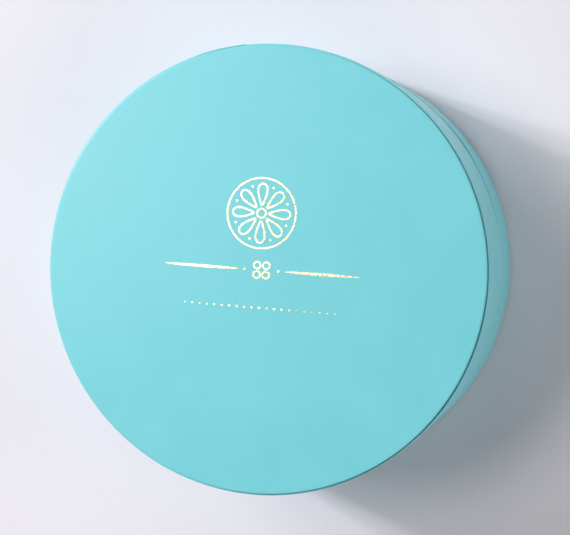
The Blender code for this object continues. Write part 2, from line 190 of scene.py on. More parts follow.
@dataclass(frozen=True)
class PastedPaper(Finish):
    """Sheet paper pasted over board.

    cloud_mm: cloudiness where glue and board show through.
    fibre_mm: length of the fibres, drawn at about a pixel, because real ones are finer.
    speck_mm: distance between stray specks.
    tooth: height of the surface's tooth in metres.
    swell: height of the slow waves of the board below in metres.
    worn: colour that shows where a fold has rubbed.
    soiled: tone that multiplies the colour where shade is painted along a fold.
    fibre_share: share of the fibres in the tone, beside the clouds.
    speck_strength: how much of a speck's own colour shows.
    """

    cloud_mm: float
    fibre_mm: float
    speck_mm: float
    tooth: float
    swell: float
    worn: str
    painted_shade: str = "8FA6A6"
    fibre_share: float = 0.4
    speck_strength: float = 0.3

    def dress(self, tree: NodeTree, place: NodeSocket) -> Inputs:
        """Cloudy tone, fine fibres, a few specks, rubbed folds, painted shade along folds, and a bump from
        tooth and board.

        Args:
            tree: the material's node tree.
            place: the piece's own coordinates.

        Returns:
            The surface's inputs.
        """
        cloud = add_node(tree, "TexNoise", cells(place, self.cloud_mm, Detail=3.0))
        fibre = add_node(tree, "TexNoise", cells(place, self.fibre_mm, Detail=2.0))
        both = add_node(tree, "Mix", {0: self.fibre_share, 2: cloud, 3: fibre})
        # Noise keeps near its middle, so that part of it is spread over both tones
        share = add_node(tree, "MapRange", {"Value": both, "From Min": 0.34, "From Max": 0.66})
        tones = self.tones(tree, share, share)

        speck = add_node(tree, "TexVoronoi", cells(place, self.speck_mm), "Distance")
        fade = {"Value": speck, "From Min": 0.02, "From Max": 0.045}
        near = add_node(tree, "MapRange", fade | {"To Min": self.speck_strength, "To Max": 0.0})
        specks = {0: near, MIX_A: tones["Base Color"], MIX_B: speck.node.outputs["Color"]}
        specked = add_node(tree, "Mix", specks, MIX_RESULT, data_type="RGBA", blend_type="SOFT_LIGHT")

        fold = add_node(tree, "Attribute", {}, "Fac", attribute_name=FOLD)
        uneven = add_node(tree, "MapRange", {"Value": fibre, "From Min": 0.42, "From Max": 0.7})
        rubbed = add_node(tree, "Math", {0: fold, 1: uneven}, operation="MULTIPLY")
        rubs = {0: rubbed, MIX_A: specked, MIX_B: linear(self.worn)}
        worn = add_node(tree, "Mix", rubs, MIX_RESULT, data_type="RGBA")
        # Painted shade: a fold value below zero multiplies the colour by the darker tone, as shade falls in a
        # joint between parts
        painted_shade = add_node(tree, "Math", {0: fold, 1: -1.0}, operation="MULTIPLY", use_clamp=True)
        painted_shading = {0: painted_shade, MIX_A: worn, MIX_B: linear(self.painted_shade)}
        colour = add_node(tree, "Mix", painted_shading, MIX_RESULT, data_type="RGBA", blend_type="MULTIPLY")

        board = add_node(tree, "Bump", {"Height": cloud, "Distance": self.swell})
        normal = add_node(tree, "Bump", {"Height": fibre, "Distance": self.tooth, "Normal": board})
        return tones | {"Base Color": colour, "Normal": normal}


@dataclass(frozen=True)
class PulpBoard(Finish):
    """Board, tape or foam made of matted fibres or cells.

    clump_mm: size of the clumps that the pulp or foam is made of.
    fleck_mm: distance between dark flecks.
    fleck: the flecks' colour.
    relief: height of the clumps in metres.
    fleck_strength: how much of the flecks' colour shows.
    """

    clump_mm: float
    fleck_mm: float
    fleck: str
    relief: float
    fleck_strength: float = 0.7

    def dress(self, tree: NodeTree, place: NodeSocket) -> Inputs:
        """Clumps in two tones, flecks between them, and a bump from the clumps.

        Args:
            tree: the material's node tree.
            place: the piece's own coordinates.

        Returns:
            The surface's inputs.
        """
        clump = add_node(tree, "TexNoise", cells(place, self.clump_mm, Detail=4.0))
        share = add_node(tree, "MapRange", {"Value": clump, "From Min": 0.3, "From Max": 0.7})
        tones = self.tones(tree, share, share)
        fleck = add_node(tree, "TexVoronoi", cells(place, self.fleck_mm), "Distance")
        fade = {"Value": fleck, "From Min": 0.1, "From Max": 0.22}
        near = add_node(tree, "MapRange", fade | {"To Min": self.fleck_strength, "To Max": 0.0})
        flecks = {0: near, MIX_A: tones["Base Color"], MIX_B: linear(self.fleck)}
        return tones | {
            "Base Color": add_node(tree, "Mix", flecks, MIX_RESULT, data_type="RGBA"),
            "Normal": add_node(tree, "Bump", {"Height": clump, "Distance": self.relief}),
        }


@dataclass(frozen=True)
class Satin(Finish):
    """Warp-faced satin, with long floats along one direction.

    thread_mm: distance between the ribs, drawn coarser than the real 0.1 mm so that it shows.
    slub_mm: length of the thicker places in a thread.
    along: the direction across the ribs, as Blender's wave texture names it.
    relief: height of a rib in metres.
    sheen: share of the cloth's sheen.
    slub_share: share of the slubs in the tone, beside the ribs.
    """

    thread_mm: float
    slub_mm: float
    along: str
    relief: float
    sheen: float
    slub_share: float = 0.55

    def dress(self, tree: NodeTree, place: NodeSocket) -> Inputs:
        """Ribs of thread with slubs, and a broad sheen.

        Args:
            tree: the material's node tree.
            place: the piece's own coordinates.

        Returns:
            The surface's inputs.
        """
        thread = cells(place, self.thread_mm / WAVE_PERIOD, Distortion=1.2, Detail=2.0)
        ribs = add_node(tree, "TexWave", thread, "Fac", bands_direction=self.along)
        slub = add_node(tree, "TexNoise", cells(place, self.slub_mm, Detail=3.0))
        share = add_node(tree, "Mix", {0: self.slub_share, 2: ribs, 3: slub})
        return self.tones(tree, share, slub) | {
            "Sheen Weight": self.sheen,
            "Sheen Roughness": 0.3,
            "Normal": add_node(tree, "Bump", {"Height": ribs, "Distance": self.relief}),
        }


@dataclass(frozen=True)
class Velvet(Finish):
    """Short cut pile on a woven back.

    nap_mm: size of the patches in which the pile leans one way.
    pile_mm: size of a tuft, drawn at about a pixel, because a real one is finer.
    relief: height of the tufts in metres.
    sheen: share of the pile's sheen at a glancing angle.
    pile_share: share of the tufts in the tone, beside the patches.
    """

    nap_mm: float
    pile_mm: float
    relief: float
    sheen: float
    pile_share: float = 0.45

    def dress(self, tree: NodeTree, place: NodeSocket) -> Inputs:
        """Patches of leaning pile, fine tufts and a strong sheen at a glancing angle.

        Args:
            tree: the material's node tree.
            place: the piece's own coordinates.

        Returns:
            The surface's inputs.
        """
        nap = add_node(tree, "TexNoise", cells(place, self.nap_mm, Detail=2.0, Distortion=0.8))
        pile = add_node(tree, "TexNoise", cells(place, self.pile_mm, Detail=3.0))
        both = add_node(tree, "Mix", {0: self.pile_share, 2: nap, 3: pile})
        share = add_node(tree, "MapRange", {"Value": both, "From Min": 0.32, "From Max": 0.68})
        lean = add_node(tree, "Bump", {"Height": nap, "Distance": self.relief})
        return self.tones(tree, share, share) | {
            "Sheen Weight": self.sheen,
            "Sheen Roughness": 0.35,
            "Sheen Tint": linear(self.pale),
            "Normal": add_node(tree, "Bump", {"Height": pile, "Distance": self.relief, "Normal": lean}),
        }


@dataclass(frozen=True)
class HotFoil(Finish):
    """Metal foil stamped hot into paper.

    tooth_mm: grain of the paper that the foil takes on.
    relief: height of that grain in metres.
    """

    tooth_mm: float
    relief: float

    def dress(self, tree: NodeTree, place: NodeSocket) -> Inputs:
        """Bright metal that glints unevenly, because it lies on the paper's tooth.

        Args:
            tree: the material's node tree.
            place: the piece's own coordinates.

        Returns:
            The surface's inputs.
        """
        tooth = add_node(tree, "TexNoise", cells(place, self.tooth_mm, Detail=3.0))
        share = add_node(tree, "MapRange", {"Value": tooth, "From Min": 0.35, "From Max": 0.65})
        return self.tones(tree, share, share) | {
            "Metallic": 1.0,
            "Normal": add_node(tree, "Bump", {"Height": tooth, "Distance": self.relief}),
        }


# Wood-free art paper, printed a robin's-egg blue and matt laminated, then pasted over board.
# It gives an even chalky blue with a soft haze towards the light, and paler rubbed folds.
COVER_PAPER = PastedPaper(
    name="art_paper_matt_laminated", slot="cover_paper", deep="73D4DE", pale="79D8E2",
    roughness=0.37, roughness_swing=0.03, cloud_mm=14.0, fibre_mm=0.5, speck_mm=9.0,
    tooth=mm(0.006), swell=mm(0.03), worn="B4E4EA",
)

# Uncoated white paper, calendered on one side. It gives a dull warm white with a faint tooth.
LINING_PAPER = PastedPaper(
    name="uncoated_paper_calendered", slot="lining_paper", deep="ECE8E0", pale="F6F3EE",
    roughness=0.82, roughness_swing=0.05, cloud_mm=8.0, fibre_mm=0.6, speck_mm=6.0,
    tooth=mm(0.012), swell=mm(0.03), worn="FBFAF7",
)

# Recycled pulp board, pressed and wound. It gives a dull grey full of light and dark fibres.
GREYBOARD = PulpBoard(
    name="greyboard_pressed", slot="greyboard", deep="8E887D", pale="A8A297",
    roughness=0.92, roughness_swing=0.05, clump_mm=0.8, fleck_mm=2.4, fleck="5F5A52", relief=mm(0.05),
)

# Brown kraft paper, gummed on one side and ironed down wet. It gives a dull tan with short fibres.
STAY_TAPE = PulpBoard(
    name="kraft_tape_gummed", slot="stay_tape", deep="AE8F63", pale="C3A579",
    roughness=0.72, roughness_swing=0.06, clump_mm=0.7, fleck_mm=3.0, fleck="8A6D45", relief=mm(0.02),
)

# Open-cell polyether foam, blown and sliced. It gives a dead matt cream full of small pores.
FOAM = PulpBoard(
    name="polyether_foam_sliced", slot="foam", deep="E6E3DA", pale="F4F2EC",
    roughness=0.95, roughness_swing=0.03, clump_mm=0.5, fleck_mm=0.9, fleck="C9C5B9", relief=mm(0.12),
)

# Polyester satin, woven with its warp on the face. It gives a soft stripe of light over each curve.
IVORY_SATIN = Satin(
    name="polyester_satin_woven", slot="ivory_satin", deep="E4DCCC", pale="F3EEE3",
    roughness=0.40, roughness_swing=0.06, thread_mm=0.45, slub_mm=6.0, along="X",
    relief=mm(0.008), sheen=0.25,
)

# Polyester satin ribbon, dyed to the paper. It gives a bright blue with fine ribs along it.
BLUE_SATIN = Satin(
    name="satin_ribbon_woven", slot="blue_satin", deep="70C2CD", pale="8AD3DC",
    roughness=0.36, roughness_swing=0.06, thread_mm=0.4, slub_mm=5.0, along="X",
    relief=mm(0.010), sheen=0.25,
)

# Cotton velveteen with a short cut pile. It gives a deep matt ivory that pales at a glancing angle.
IVORY_VELVET = Velvet(
    name="velveteen_cut_pile", slot="ivory_velvet", deep="DDD2C0", pale="EBE3D5",
    roughness=0.95, roughness_swing=0.04, nap_mm=16.0, pile_mm=0.45, relief=mm(0.10), sheen=0.6,
)

# Vacuum-metallised polyester foil, stamped hot. It gives thin pale gold lines that glint unevenly.
GOLD_FOIL = HotFoil(
    name="gold_foil_hot_stamped", slot="cover_paper", deep="D4BC7C", pale="F4EBC6",
    roughness=0.28, roughness_swing=0.12, tooth_mm=0.6, relief=mm(0.02),
)

# Painted backdrop board under the box. It gives a pale, cool, even ground that only takes shadows.
FLOOR_BOARD = PastedPaper(
    name="backdrop_board_painted", slot="floor", deep="EEEAF2", pale="F1EDF5",
    roughness=0.9, roughness_swing=0.03, cloud_mm=120.0, fibre_mm=1.0, speck_mm=400.0,
    tooth=mm(0.004), swell=mm(0.02), worn="F4F6F8",
)


# Paths in section: radius first, height second

# Most of a straight leg that a fold and the point beside it take up
LEG_SHARE = 0.45


def arc(centre: Vector, radius: float, start: float, end: float, steps: int) -> Outline:
    """Points along an arc between two angles in radians, both ends included."""
    angles = [start + (end - start) * step / steps for step in range(steps + 1)]
    return [centre + radius * Vector((math.cos(angle), math.sin(angle))) for angle in angles]


def folded(corners: Iterable[tuple[float, float]], radius: float, steps: int, rest: float) -> Outline:
    """Round the inner corners of a path, as a sheet folds over a board.

    Args:
        corners: the path's ends and corners.
        radius: radius of each fold on the sheet's visible face.
        steps: facets round each fold.
        rest: distance from a fold to the point on the flat beside it, which keeps wear near the fold.

    Returns:
        The path's points, with an arc in place of each inner corner.
    """
    points = [Vector(corner) for corner in corners]
    path = [points[0]]
    for before, corner, after in zip(points, points[1:], points[2:]):
        back = (before - corner).normalized()
        ahead = (after - corner).normalized()
        half = back.angle(ahead) / 2
        centre = corner + (back + ahead).normalized() * (radius / math.sin(half))
        reach = radius / math.tan(half)
        first = (corner + back * reach - centre).normalized()
        last = (corner + ahead * reach - centre).normalized()
        path.append(corner + back * min(reach + rest, LEG_SHARE * (before - corner).length))
        path += [centre + radius * first.slerp(last, step / steps) for step in range(steps + 1)]
        path.append(corner + ahead * min(reach + rest, LEG_SHARE * (after - corner).length))
    return path + [points[-1]]


def spread(path: Outline, longest: float) -> Outline:
    """Add points to a path so that no stretch of it is longer than longest.

    Args:
        path: the path's points.
        longest: the longest stretch wanted.

    Returns:
        The path's points, old and new.
    """
    points = [path[0]]
    for before, after in zip(path, path[1:]):
        steps = max(1, math.ceil((after - before).length / longest))
        points += [before.lerp(after, step / steps) for step in range(1, steps + 1)]
    return points


def sheet(face: Outline, thickness: float) -> Outline:
    """Closed outline of a sheet, with its corners mitred.

    Args:
        face: path of its visible face.
        thickness: its thickness, which lies on the path's right.

    Returns:
        The outline's points.
    """
    ways = [(after - before).normalized() for before, after in zip(face, face[1:])]
    behind = []
    for point, before, after in zip(face, [ways[0]] + ways, ways + [ways[-1]]):
        right = Vector((before.y + after.y, -before.x - after.x)).normalized()
        behind.append(point + right * (thickness / right.dot(Vector((before.y, -before.x)))))
    return face + behind[::-1]


@dataclass(frozen=True)
class PadForm:
    """A padded disc in section: a low crown, a round shoulder and a side drawn in to its foot.

    Heights run up from the foot of the foam. The crown meets the shoulder's arc, and the arc
    meets the side, without a corner.
    """

    radius: float
    height: float  # foot to the top of the shoulder
    shoulder: float
    rise: float  # crown above the shoulder
    draw: float  # foot inside the widest radius

    @property
    def foot_radius(self) -> float:
        """Radius of the foam's foot, and of the card behind it."""
        return self.radius - self.draw

    @property
    def shoulder_centre(self) -> Vector:
        """Middle of the shoulder's arc."""
        return Vector((self.radius - self.shoulder, self.height - self.shoulder))

    @property
    def lean(self) -> float:
        """Angle from upright at which the crown meets the shoulder."""
        return 2 * math.atan2(self.rise, self.shoulder_centre.x)

    def crown_height(self, radius: np.ndarray, cover: float) -> np.ndarray:
        """Height of the crown's face.

        Args:
            radius: distances from the axis.
            cover: distance that the face is moved out from the foam's.

        Returns:
            Heights above the foam's foot.
        """
        centre = self.shoulder_centre
        low = centre.y - centre.x / math.tan(self.lean)
        ball = centre.x / math.sin(self.lean) + self.shoulder + cover
        return low + np.sqrt(ball**2 - radius**2)

    def side(self, cover: float, steps: int) -> Outline:
        """Points from the crown's edge round the shoulder and down to the foot.

        Args:
            cover: distance that the face is moved out from the foam's.
            steps: facets round the shoulder.

        Returns:
            The section's points.
        """
        centre = self.shoulder_centre
        foot = Vector((self.foot_radius, 0))
        to_foot = foot - centre
        end = math.atan2(to_foot.y, to_foot.x) + math.acos(self.shoulder / to_foot.length)
        edge = arc(centre, self.shoulder + cover, math.pi / 2 - self.lean, end, steps)
        return edge + [foot + cover * Vector((math.cos(end), math.sin(end)))]


# Meshes

# Distance within which points on the axis become one
MERGE = mm(0.002)

# Even columns of points round a turned piece
ROUND_STEPS = 256

# Share by which a fold is rubbed, and the turns that make one, more than flat and less than a cut edge
RUBBED = 0.3
FOLD_TURNS = (math.radians(3), math.radians(60))
FOLD_REACH = mm(0.15)

# Angles above which an edge is drawn sharp, on board and paper, and on finished cloth
SHARP_DEGREES = 35
CLOTH_SHARP_DEGREES = 50

# Facets of a cloth's fold round a card, and the distance from it to the point on the flat
CLOTH_FOLD_STEPS = 4
CLOTH_REST = mm(0.6)


def round_angles(steps: int, extra: Sequence[float] = ()) -> np.ndarray:
    """Even angles round a full turn in radians, with extra ones where a surface has a step."""
    even = np.linspace(0, FULL_TURN, steps, endpoint=False)
    return np.unique(np.concatenate([even, np.asarray(extra, dtype=float) % FULL_TURN]))


def circle(count: int, start: float = 0.0) -> np.ndarray:
    """Points on a circle of radius one, evenly from an angle in radians, one row each."""
    angles = start + np.linspace(0, FULL_TURN, count, endpoint=False)
    return np.stack([np.cos(angles), np.sin(angles)], axis=1)


def around_axis(radius: np.ndarray, height: np.ndarray, angles: np.ndarray) -> np.ndarray:
    """Points round the box's axis, as ring by angle by coordinate."""
    return np.stack([radius * np.cos(angles), radius * np.sin(angles), height], axis=-1)


def swept(section: Outline, angles: np.ndarray) -> tuple[np.ndarray, np.ndarray, np.ndarray]:
    """Repeat a section's points at every angle.

    Args:
        section: the section's points.
        angles: in radians.

    Returns:
        Radii, heights and angles, each as point by angle.
    """
    places = np.array([point[:] for point in section])
    radius, around = np.meshgrid(places[:, 0], angles, indexing="ij")
    return radius, np.meshgrid(places[:, 1], angles, indexing="ij")[0], around


def ring_mesh(name: str, rings: np.ndarray, closed: bool) -> Mesh:
    """Join rings of points into a mesh of four-sided faces.

    Args:
        name: the mesh's name.
        rings: points, as ring by angle by coordinate.
        closed: join the last ring to the first.

    Returns:
        The new mesh, with points on the axis merged.
    """
    count, around = rings.shape[:2]
    faces = []
    for ring in range(count if closed else count - 1):
        here, there = ring * around, (ring + 1) % count * around
        for at in range(around):
            after = (at + 1) % around
            faces.append((here + at, there + at, there + after, here + after))
    mesh = bpy.data.meshes.new(name)
    mesh.from_pydata(rings.reshape(-1, 3).tolist(), [], faces)

    shape = bmesh.new()
    shape.from_mesh(mesh)
    axis = [vertex for vertex in shape.verts if vertex.co.xy.length < MERGE]
    bmesh.ops.remove_doubles(shape, verts=axis, dist=MERGE)
    return keep_shape(shape, mesh)


def keep_shape(shape: bmesh.types.BMesh, mesh: Mesh) -> Mesh:
    """Turn a shape's faces outwards, and put it in a mesh.

    Args:
        shape: the shape, which is freed.
        mesh: the mesh.

    Returns:
        The mesh.
    """
    bmesh.ops.recalc_face_normals(shape, faces=shape.faces)
    shape.to_mesh(mesh)
    shape.free()
    return mesh


def mark_folds(mesh: Mesh, outline: Outline, rub: float) -> None:
    """Give the points on an outline's folds a fold value, and all others zero.

    Args:
        mesh: the turned mesh.
        outline: the section that it was turned from.
        rub: the fold value.
    """
    places = read_points(mesh)
    flat = np.stack([np.hypot(places[:, 0], places[:, 1]), places[:, 2]], axis=1)
    values = np.zeros(len(flat))
    for before, point, after in zip(outline[-1:] + outline, outline, outline[1:] + outline[:1]):
        came, goes = point - before, after - point
        if came.length > 0 and goes.length > 0 and FOLD_TURNS[0] < came.angle(goes) < FOLD_TURNS[1]:
            values[np.hypot(*(flat - np.array(point[:])).T) < FOLD_REACH] = rub
    mesh.attributes.new(FOLD, "FLOAT", "POINT").data.foreach_set("value", values)


def block(name: str, size: Vector, top_edge: float, foot_edge: float, cell: float) -> Mesh:
    """Make a block of even cells with rounded edges, centred on the origin.

    Args:
        name: the mesh's name.
        size: length along each axis.
        top_edge: radius of the edges at the top.
        foot_edge: radius of the edges at the foot.
        cell: side of a cell.

    Returns:
        The new mesh.
    """
    shape = bmesh.new()
    half = size / 2
    for axis in range(3):
        first, second = (axis + 1) % 3, (axis + 2) % 3
        counts = [max(2, round(size[way] / cell)) for way in (first, second)]
        for side in (-1, 1):
            grid = {}
            for i in range(counts[0] + 1):
                for j in range(counts[1] + 1):
                    place = [0.0, 0.0, 0.0]
                    place[axis] = side * half[axis]
                    place[first] = (2 * i / counts[0] - 1) * half[first]
                    place[second] = (2 * j / counts[1] - 1) * half[second]
                    grid[i, j] = shape.verts.new(place)
            for i in range(counts[0]):
                for j in range(counts[1]):
                    shape.faces.new([grid[i, j], grid[i + 1, j], grid[i + 1, j + 1], grid[i, j + 1]])
    bmesh.ops.remove_doubles(shape, verts=shape.verts, dist=cell / 10)
    for vertex in shape.verts:
        rise = vertex.co.z / size.z + 0.5
        edge = foot_edge + (top_edge - foot_edge) * rise
        core = Vector([max(-half[way] + edge, min(half[way] - edge, vertex.co[way])) for way in range(3)])
        vertex.co = core + (vertex.co - core).normalized() * edge
    return keep_shape(shape, bpy.data.meshes.new(name))


def read_points(mesh: Mesh, what: str = "co") -> np.ndarray:
    """Read a mesh's points.

    Args:
        mesh: the mesh.
        what: co for their places, or normal.

    Returns:
        The coordinates, one row for each point.
    """
    flat = np.empty(len(mesh.vertices) * 3)
    mesh.vertices.foreach_get(what, flat)
    return flat.reshape(-1, 3)


# Pieces


def add_object(name: str, data: bpy.types.ID) -> Object:
    """Add an object with its data to the scene.

    Args:
        name: the object's name.
        data: its mesh, camera or light.

    Returns:
        The new object.
    """
    made = bpy.data.objects.new(name, data)
    bpy.context.scene.collection.objects.link(made)
    return made


def add_piece(mesh: Mesh, finish: Finish, name: str = "") -> Object:
    """Add a mesh to the scene as a named piece with its finish, smooth where it is round.

    Args:
        mesh: the piece's mesh.
        finish: its finish.
        name: the piece's name, if it isn't the mesh's.

    Returns:
        The new piece, which rides on nothing yet.
    """
    mesh.materials.clear()
    mesh.materials.append(finish.material())
    mesh.shade_smooth()
    mesh.set_sharp_from_angle(angle=math.radians(SHARP_DEGREES))
    return add_object(name or mesh.name, mesh)


def mount(piece: Object, body: Body, node: str = "") -> None:
    """Let a piece ride its body, and let it stand for its CAD node.

    Args:
        piece: the piece.
        body: the body that it rides on.
        node: the CAD node that it stands for, if there is one.
    """
    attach(piece, body.value)
    if node:
        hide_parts(node)
    places = read_points(piece.data) * 1000
    box = places.min(axis=0).round(2), places.max(axis=0).round(2)
    LOG.info("%s rides %s, in mm from %s to %s", piece.name, body.value, *box)


def add_turned(
    name: str, finish: Finish, body: Body, node: str, outline: Outline, columns: Sequence[float] = (),
    warp: Warp | None = None, rub: float = RUBBED, steps: int = ROUND_STEPS,
) -> Mesh:
    """Turn a closed outline round the box's axis into a piece, and mark its folds.

    Args:
        name: the piece's name.
        finish: its finish.
        body: the body that it rides on.
        node: the CAD node that it stands for.
        outline: the section's points, in order round it.
        columns: angles in radians that get points of their own, beside the even ones.
        warp: moves radii and heights, given radii, heights and angles.
        rub: share by which the folds are rubbed.
        steps: even columns round the axis.

    Returns:
        The piece's mesh.
    """
    radius, height, around = swept(outline, round_angles(steps, columns))
    if warp:
        radius, height = warp(radius, height, around)
    mesh = ring_mesh(name, around_axis(radius, height, around), closed=True)
    mark_folds(mesh, outline, rub)
    mount(add_piece(mesh, finish), body, node)
    return mesh


def apply_modifiers(piece: Object) -> None:
    """Put a piece's finished shape in its mesh and clear its modifiers.

    Args:
        piece: the piece.
    """
    view = bpy.context.evaluated_depsgraph_get()
    finished = bpy.data.meshes.new_from_object(piece.evaluated_get(view))
    piece.modifiers.clear()
    finished.name = piece.name
    piece.data = finished


def finish_soft(
    piece: Object, thickness: float = 0.0, outwards: float = -1.0, smooth: bool = True,
    sharp_degrees: float = CLOTH_SHARP_DEGREES,
) -> None:
    """Smooth a soft piece once, give it its cloth's thickness, and keep its edges crisp.

    Args:
        piece: the piece.
        thickness: the cloth's thickness, or zero for a solid piece.
        outwards: side that it grows to, from -1 for inwards to 1 for outwards.
        smooth: divide its faces once.
        sharp_degrees: for a cloth, the angle above which an edge is drawn sharp.
    """
    if smooth:
        fine = piece.modifiers.new("fine", "SUBSURF")
        fine.levels = fine.render_levels = 1
    if thickness:
        solid = piece.modifiers.new("cloth_thickness", "SOLIDIFY")
        solid.thickness = thickness
        solid.offset = outwards
    apply_modifiers(piece)
    piece.data.shade_smooth()
    if thickness:
        piece.data.set_sharp_from_angle(angle=math.radians(sharp_degrees))


def dress_nodes(finish: Finish, *names: str) -> None:
    """Give carried-over CAD nodes their finish through their objects' material slots.

    Args:
        finish: the finish.
        names: the nodes' names.
    """
    for name in names:
        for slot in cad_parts[name].material_slots:
            slot.link = "OBJECT"
            slot.material = finish.material()
        LOG.info("%s keeps its shape, in %s", name, finish.name)


@dataclass(frozen=True)
class ClothPass:
    """One run of cloth over a padded piece, whose result stays in the mesh.

    pressure: what swells the cover.
    cap: farthest that a point may move outwards, inwards half of that.
    mass: weight of each point.
    frames: frames that the cloth runs.
    quality: steps in each frame.
    stiffness, bending: how hard the cloth is to stretch or press together, and to bend.
    """

    pressure: float
    cap: float
    mass: float = 0.05
    frames: int = 20
    quality: int = 8
    stiffness: float = 12.0
    bending: float = 0.3

    def run(self, piece: Object, held: np.ndarray) -> None:
        """Swell a piece's cover.

        Args:
            piece: the piece, whose mesh is the cover's resting form.
            held: for each point, whether glue or a tuck holds it.
        """
        before = read_points(piece.data)
        group = piece.vertex_groups.new(name="held")
        group.add(np.flatnonzero(held).tolist(), 1.0, "REPLACE")
        cloth = piece.modifiers.new("cloth", "CLOTH")
        settings = cloth.settings
        settings.quality = self.quality
        settings.mass = self.mass
        settings.use_pressure = True
        settings.uniform_pressure_force = self.pressure
        settings.effector_weights.gravity = 0
        settings.tension_stiffness = settings.compression_stiffness = self.stiffness
        settings.bending_stiffness = self.bending
        settings.vertex_group_mass = group.name
        cloth.point_cache.frame_start = 1
        cloth.point_cache.frame_end = self.frames
        scene = bpy.context.scene
        for number in range(1, self.frames + 1):
            scene.frame_set(number)
        view = bpy.context.evaluated_depsgraph_get()
        move = read_points(piece.evaluated_get(view).data) - before
        out = np.sum(move * read_points(piece.data, "normal"), axis=1)
        piece.modifiers.remove(cloth)
        piece.vertex_groups.remove(group)
        scene.frame_set(1)

        length = np.linalg.norm(move, axis=1)
        most = np.where(out > 0, self.cap, self.cap / 2)
        move *= np.minimum(1, most / np.maximum(length, 1e-9))[:, None]
        piece.data.vertices.foreach_set("co", (before + move).ravel())
        piece.data.update()
        LOG.info("%s swelled by up to %.2f mm, before the cap", piece.name, length.max() * 1000)


# Sizes that the sub-assemblies share


@dataclass(frozen=True)
class Stock:
    """Sizes of the boards and sheets, and the clearances between them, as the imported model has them.

    rim_set_back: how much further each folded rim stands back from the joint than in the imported
    model, so that the joint shows as a fine line.
    fold_rest: distance from a fold to the point on the flat beside it.
    """

    outer_radius: float = mm(60.0)
    height: float = mm(60.0)
    joint_height: float = mm(26.0)
    joint_gap: float = mm(0.3)
    rim_set_back: float = mm(0.2)
    paper: float = mm(0.25)
    tube_wall: float = mm(1.8)
    disc_board: float = mm(1.5)
    neck_wall: float = mm(1.2)
    glue_gap: float = mm(0.3)
    slip_gap: float = mm(0.3)
    fold_radius: float = mm(0.5)
    rim_radius: float = mm(0.8)
    fold_steps: int = 6
    fold_rest: float = mm(0.7)
    longest_face: float = mm(1.5)
    longest_flat: float = mm(8.0)

    @property
    def underlay_radius(self) -> float:
        """Face of the sheets that lie under the outer strips."""
        return self.outer_radius - self.paper - self.glue_gap

    @property
    def tube_bore(self) -> float:
        """Inside of the two tubes."""
        return self.underlay_radius - self.paper - self.glue_gap - self.tube_wall

    @property
    def lining_radius(self) -> float:
        """Visible face of the turn-ins and of the lid's lining."""
        return self.tube_bore - self.glue_gap - self.paper

    @property
    def neck_face(self) -> float:
        """Outside of the neck's paper."""
        return self.lining_radius - self.slip_gap

    @property
    def inside_radius(self) -> float:
        """Inside of the neck's paper."""
        return self.neck_face - 2 * (self.paper + self.glue_gap) - self.neck_wall

    @property
    def lid_rim(self) -> float:
        """Height of the lid's lower rim."""
        return self.joint_height + self.joint_gap / 2 + self.rim_set_back

    @property
    def base_rim(self) -> float:
        """Height of the base's upper rim."""
        return self.joint_height - self.joint_gap / 2 - self.rim_set_back

    @property
    def disc_underside(self) -> float:
        """Underside of the lid's board."""
        return self.height - self.paper - self.glue_gap - self.disc_board

    @property
    def floor_top(self) -> float:
        """Face of the paper on the floor inside."""
        return 4 * (self.paper + self.glue_gap) + self.disc_board

    def fold(self, corners: Iterable[tuple[float, float]], radius: float) -> Outline:
        """Closed outline of a paper sheet that is folded over board at each inner corner."""
        path = folded(corners, radius, self.fold_steps, self.fold_rest)
        return sheet(spread(path, self.longest_face), self.paper)

    def outside(self, radius: np.ndarray) -> np.ndarray:
        """One on the box's outside, and zero from a millimetre inside it."""
        return np.clip((radius - self.underlay_radius + mm(1)) / mm(1), 0, 1)


@dataclass(frozen=True)
class StripJoin:
    """Where a strip's end is pasted over its start, at the back of the box.

    degrees: place of the free end, from +X towards +Y.
    overlap: how far the end runs over the start.
    step: how far the end stands proud.
    ease: distance over which the paper comes down again.
    cut: half the width over which the surface steps down at the free end.
    """

    degrees: float = 96.0
    overlap: float = mm(12.0)
    step: float = mm(0.12)
    ease: float = mm(3.0)
    cut: float = mm(0.03)

    def columns(self, radius: float) -> list[float]:
        """Angles in radians at which a strip of a radius needs columns of points."""
        along = [-self.cut, self.cut] + [self.overlap + step / 4 * self.ease for step in range(5)]
        return [math.radians(self.degrees) + place / radius for place in along]

    def lift(self, angles: np.ndarray, radius: float) -> np.ndarray:
        """How far the strip stands out.

        Args:
            angles: in radians.
            radius: the strip's radius.

        Returns:
            Distances in metres, one for each angle.
        """
        along = (angles - math.radians(self.degrees)) % FULL_TURN * radius
        down = np.clip((along - self.overlap) / self.ease, 0, 1)
        return self.step * (1 - down * down * (3 - 2 * down))


# Waves round the box that a pasted edge is made of, and about the highest sum of them
WAVER_WAVES = (2, 3, 5, 8, 13, 21)
WAVER_PEAK = 1.6


def waver(angles: np.ndarray, size: float, seed: int) -> np.ndarray:
    """Slow unevenness of a hand-pasted edge.

    Args:
        angles: places round the box in radians.
        size: about how far the edge strays.
        seed: picks one edge's own pattern.

    Returns:
        Distances in metres, one for each angle.
    """
    chance = np.random.default_rng(seed)
    total = np.zeros_like(angles)
    for waves in WAVER_WAVES:
        start, share = chance.uniform(0, FULL_TURN), chance.uniform(0.5, 1)
        total += share / math.sqrt(waves) * np.sin(waves * angles + start)
    return size * total / WAVER_PEAK


# The box


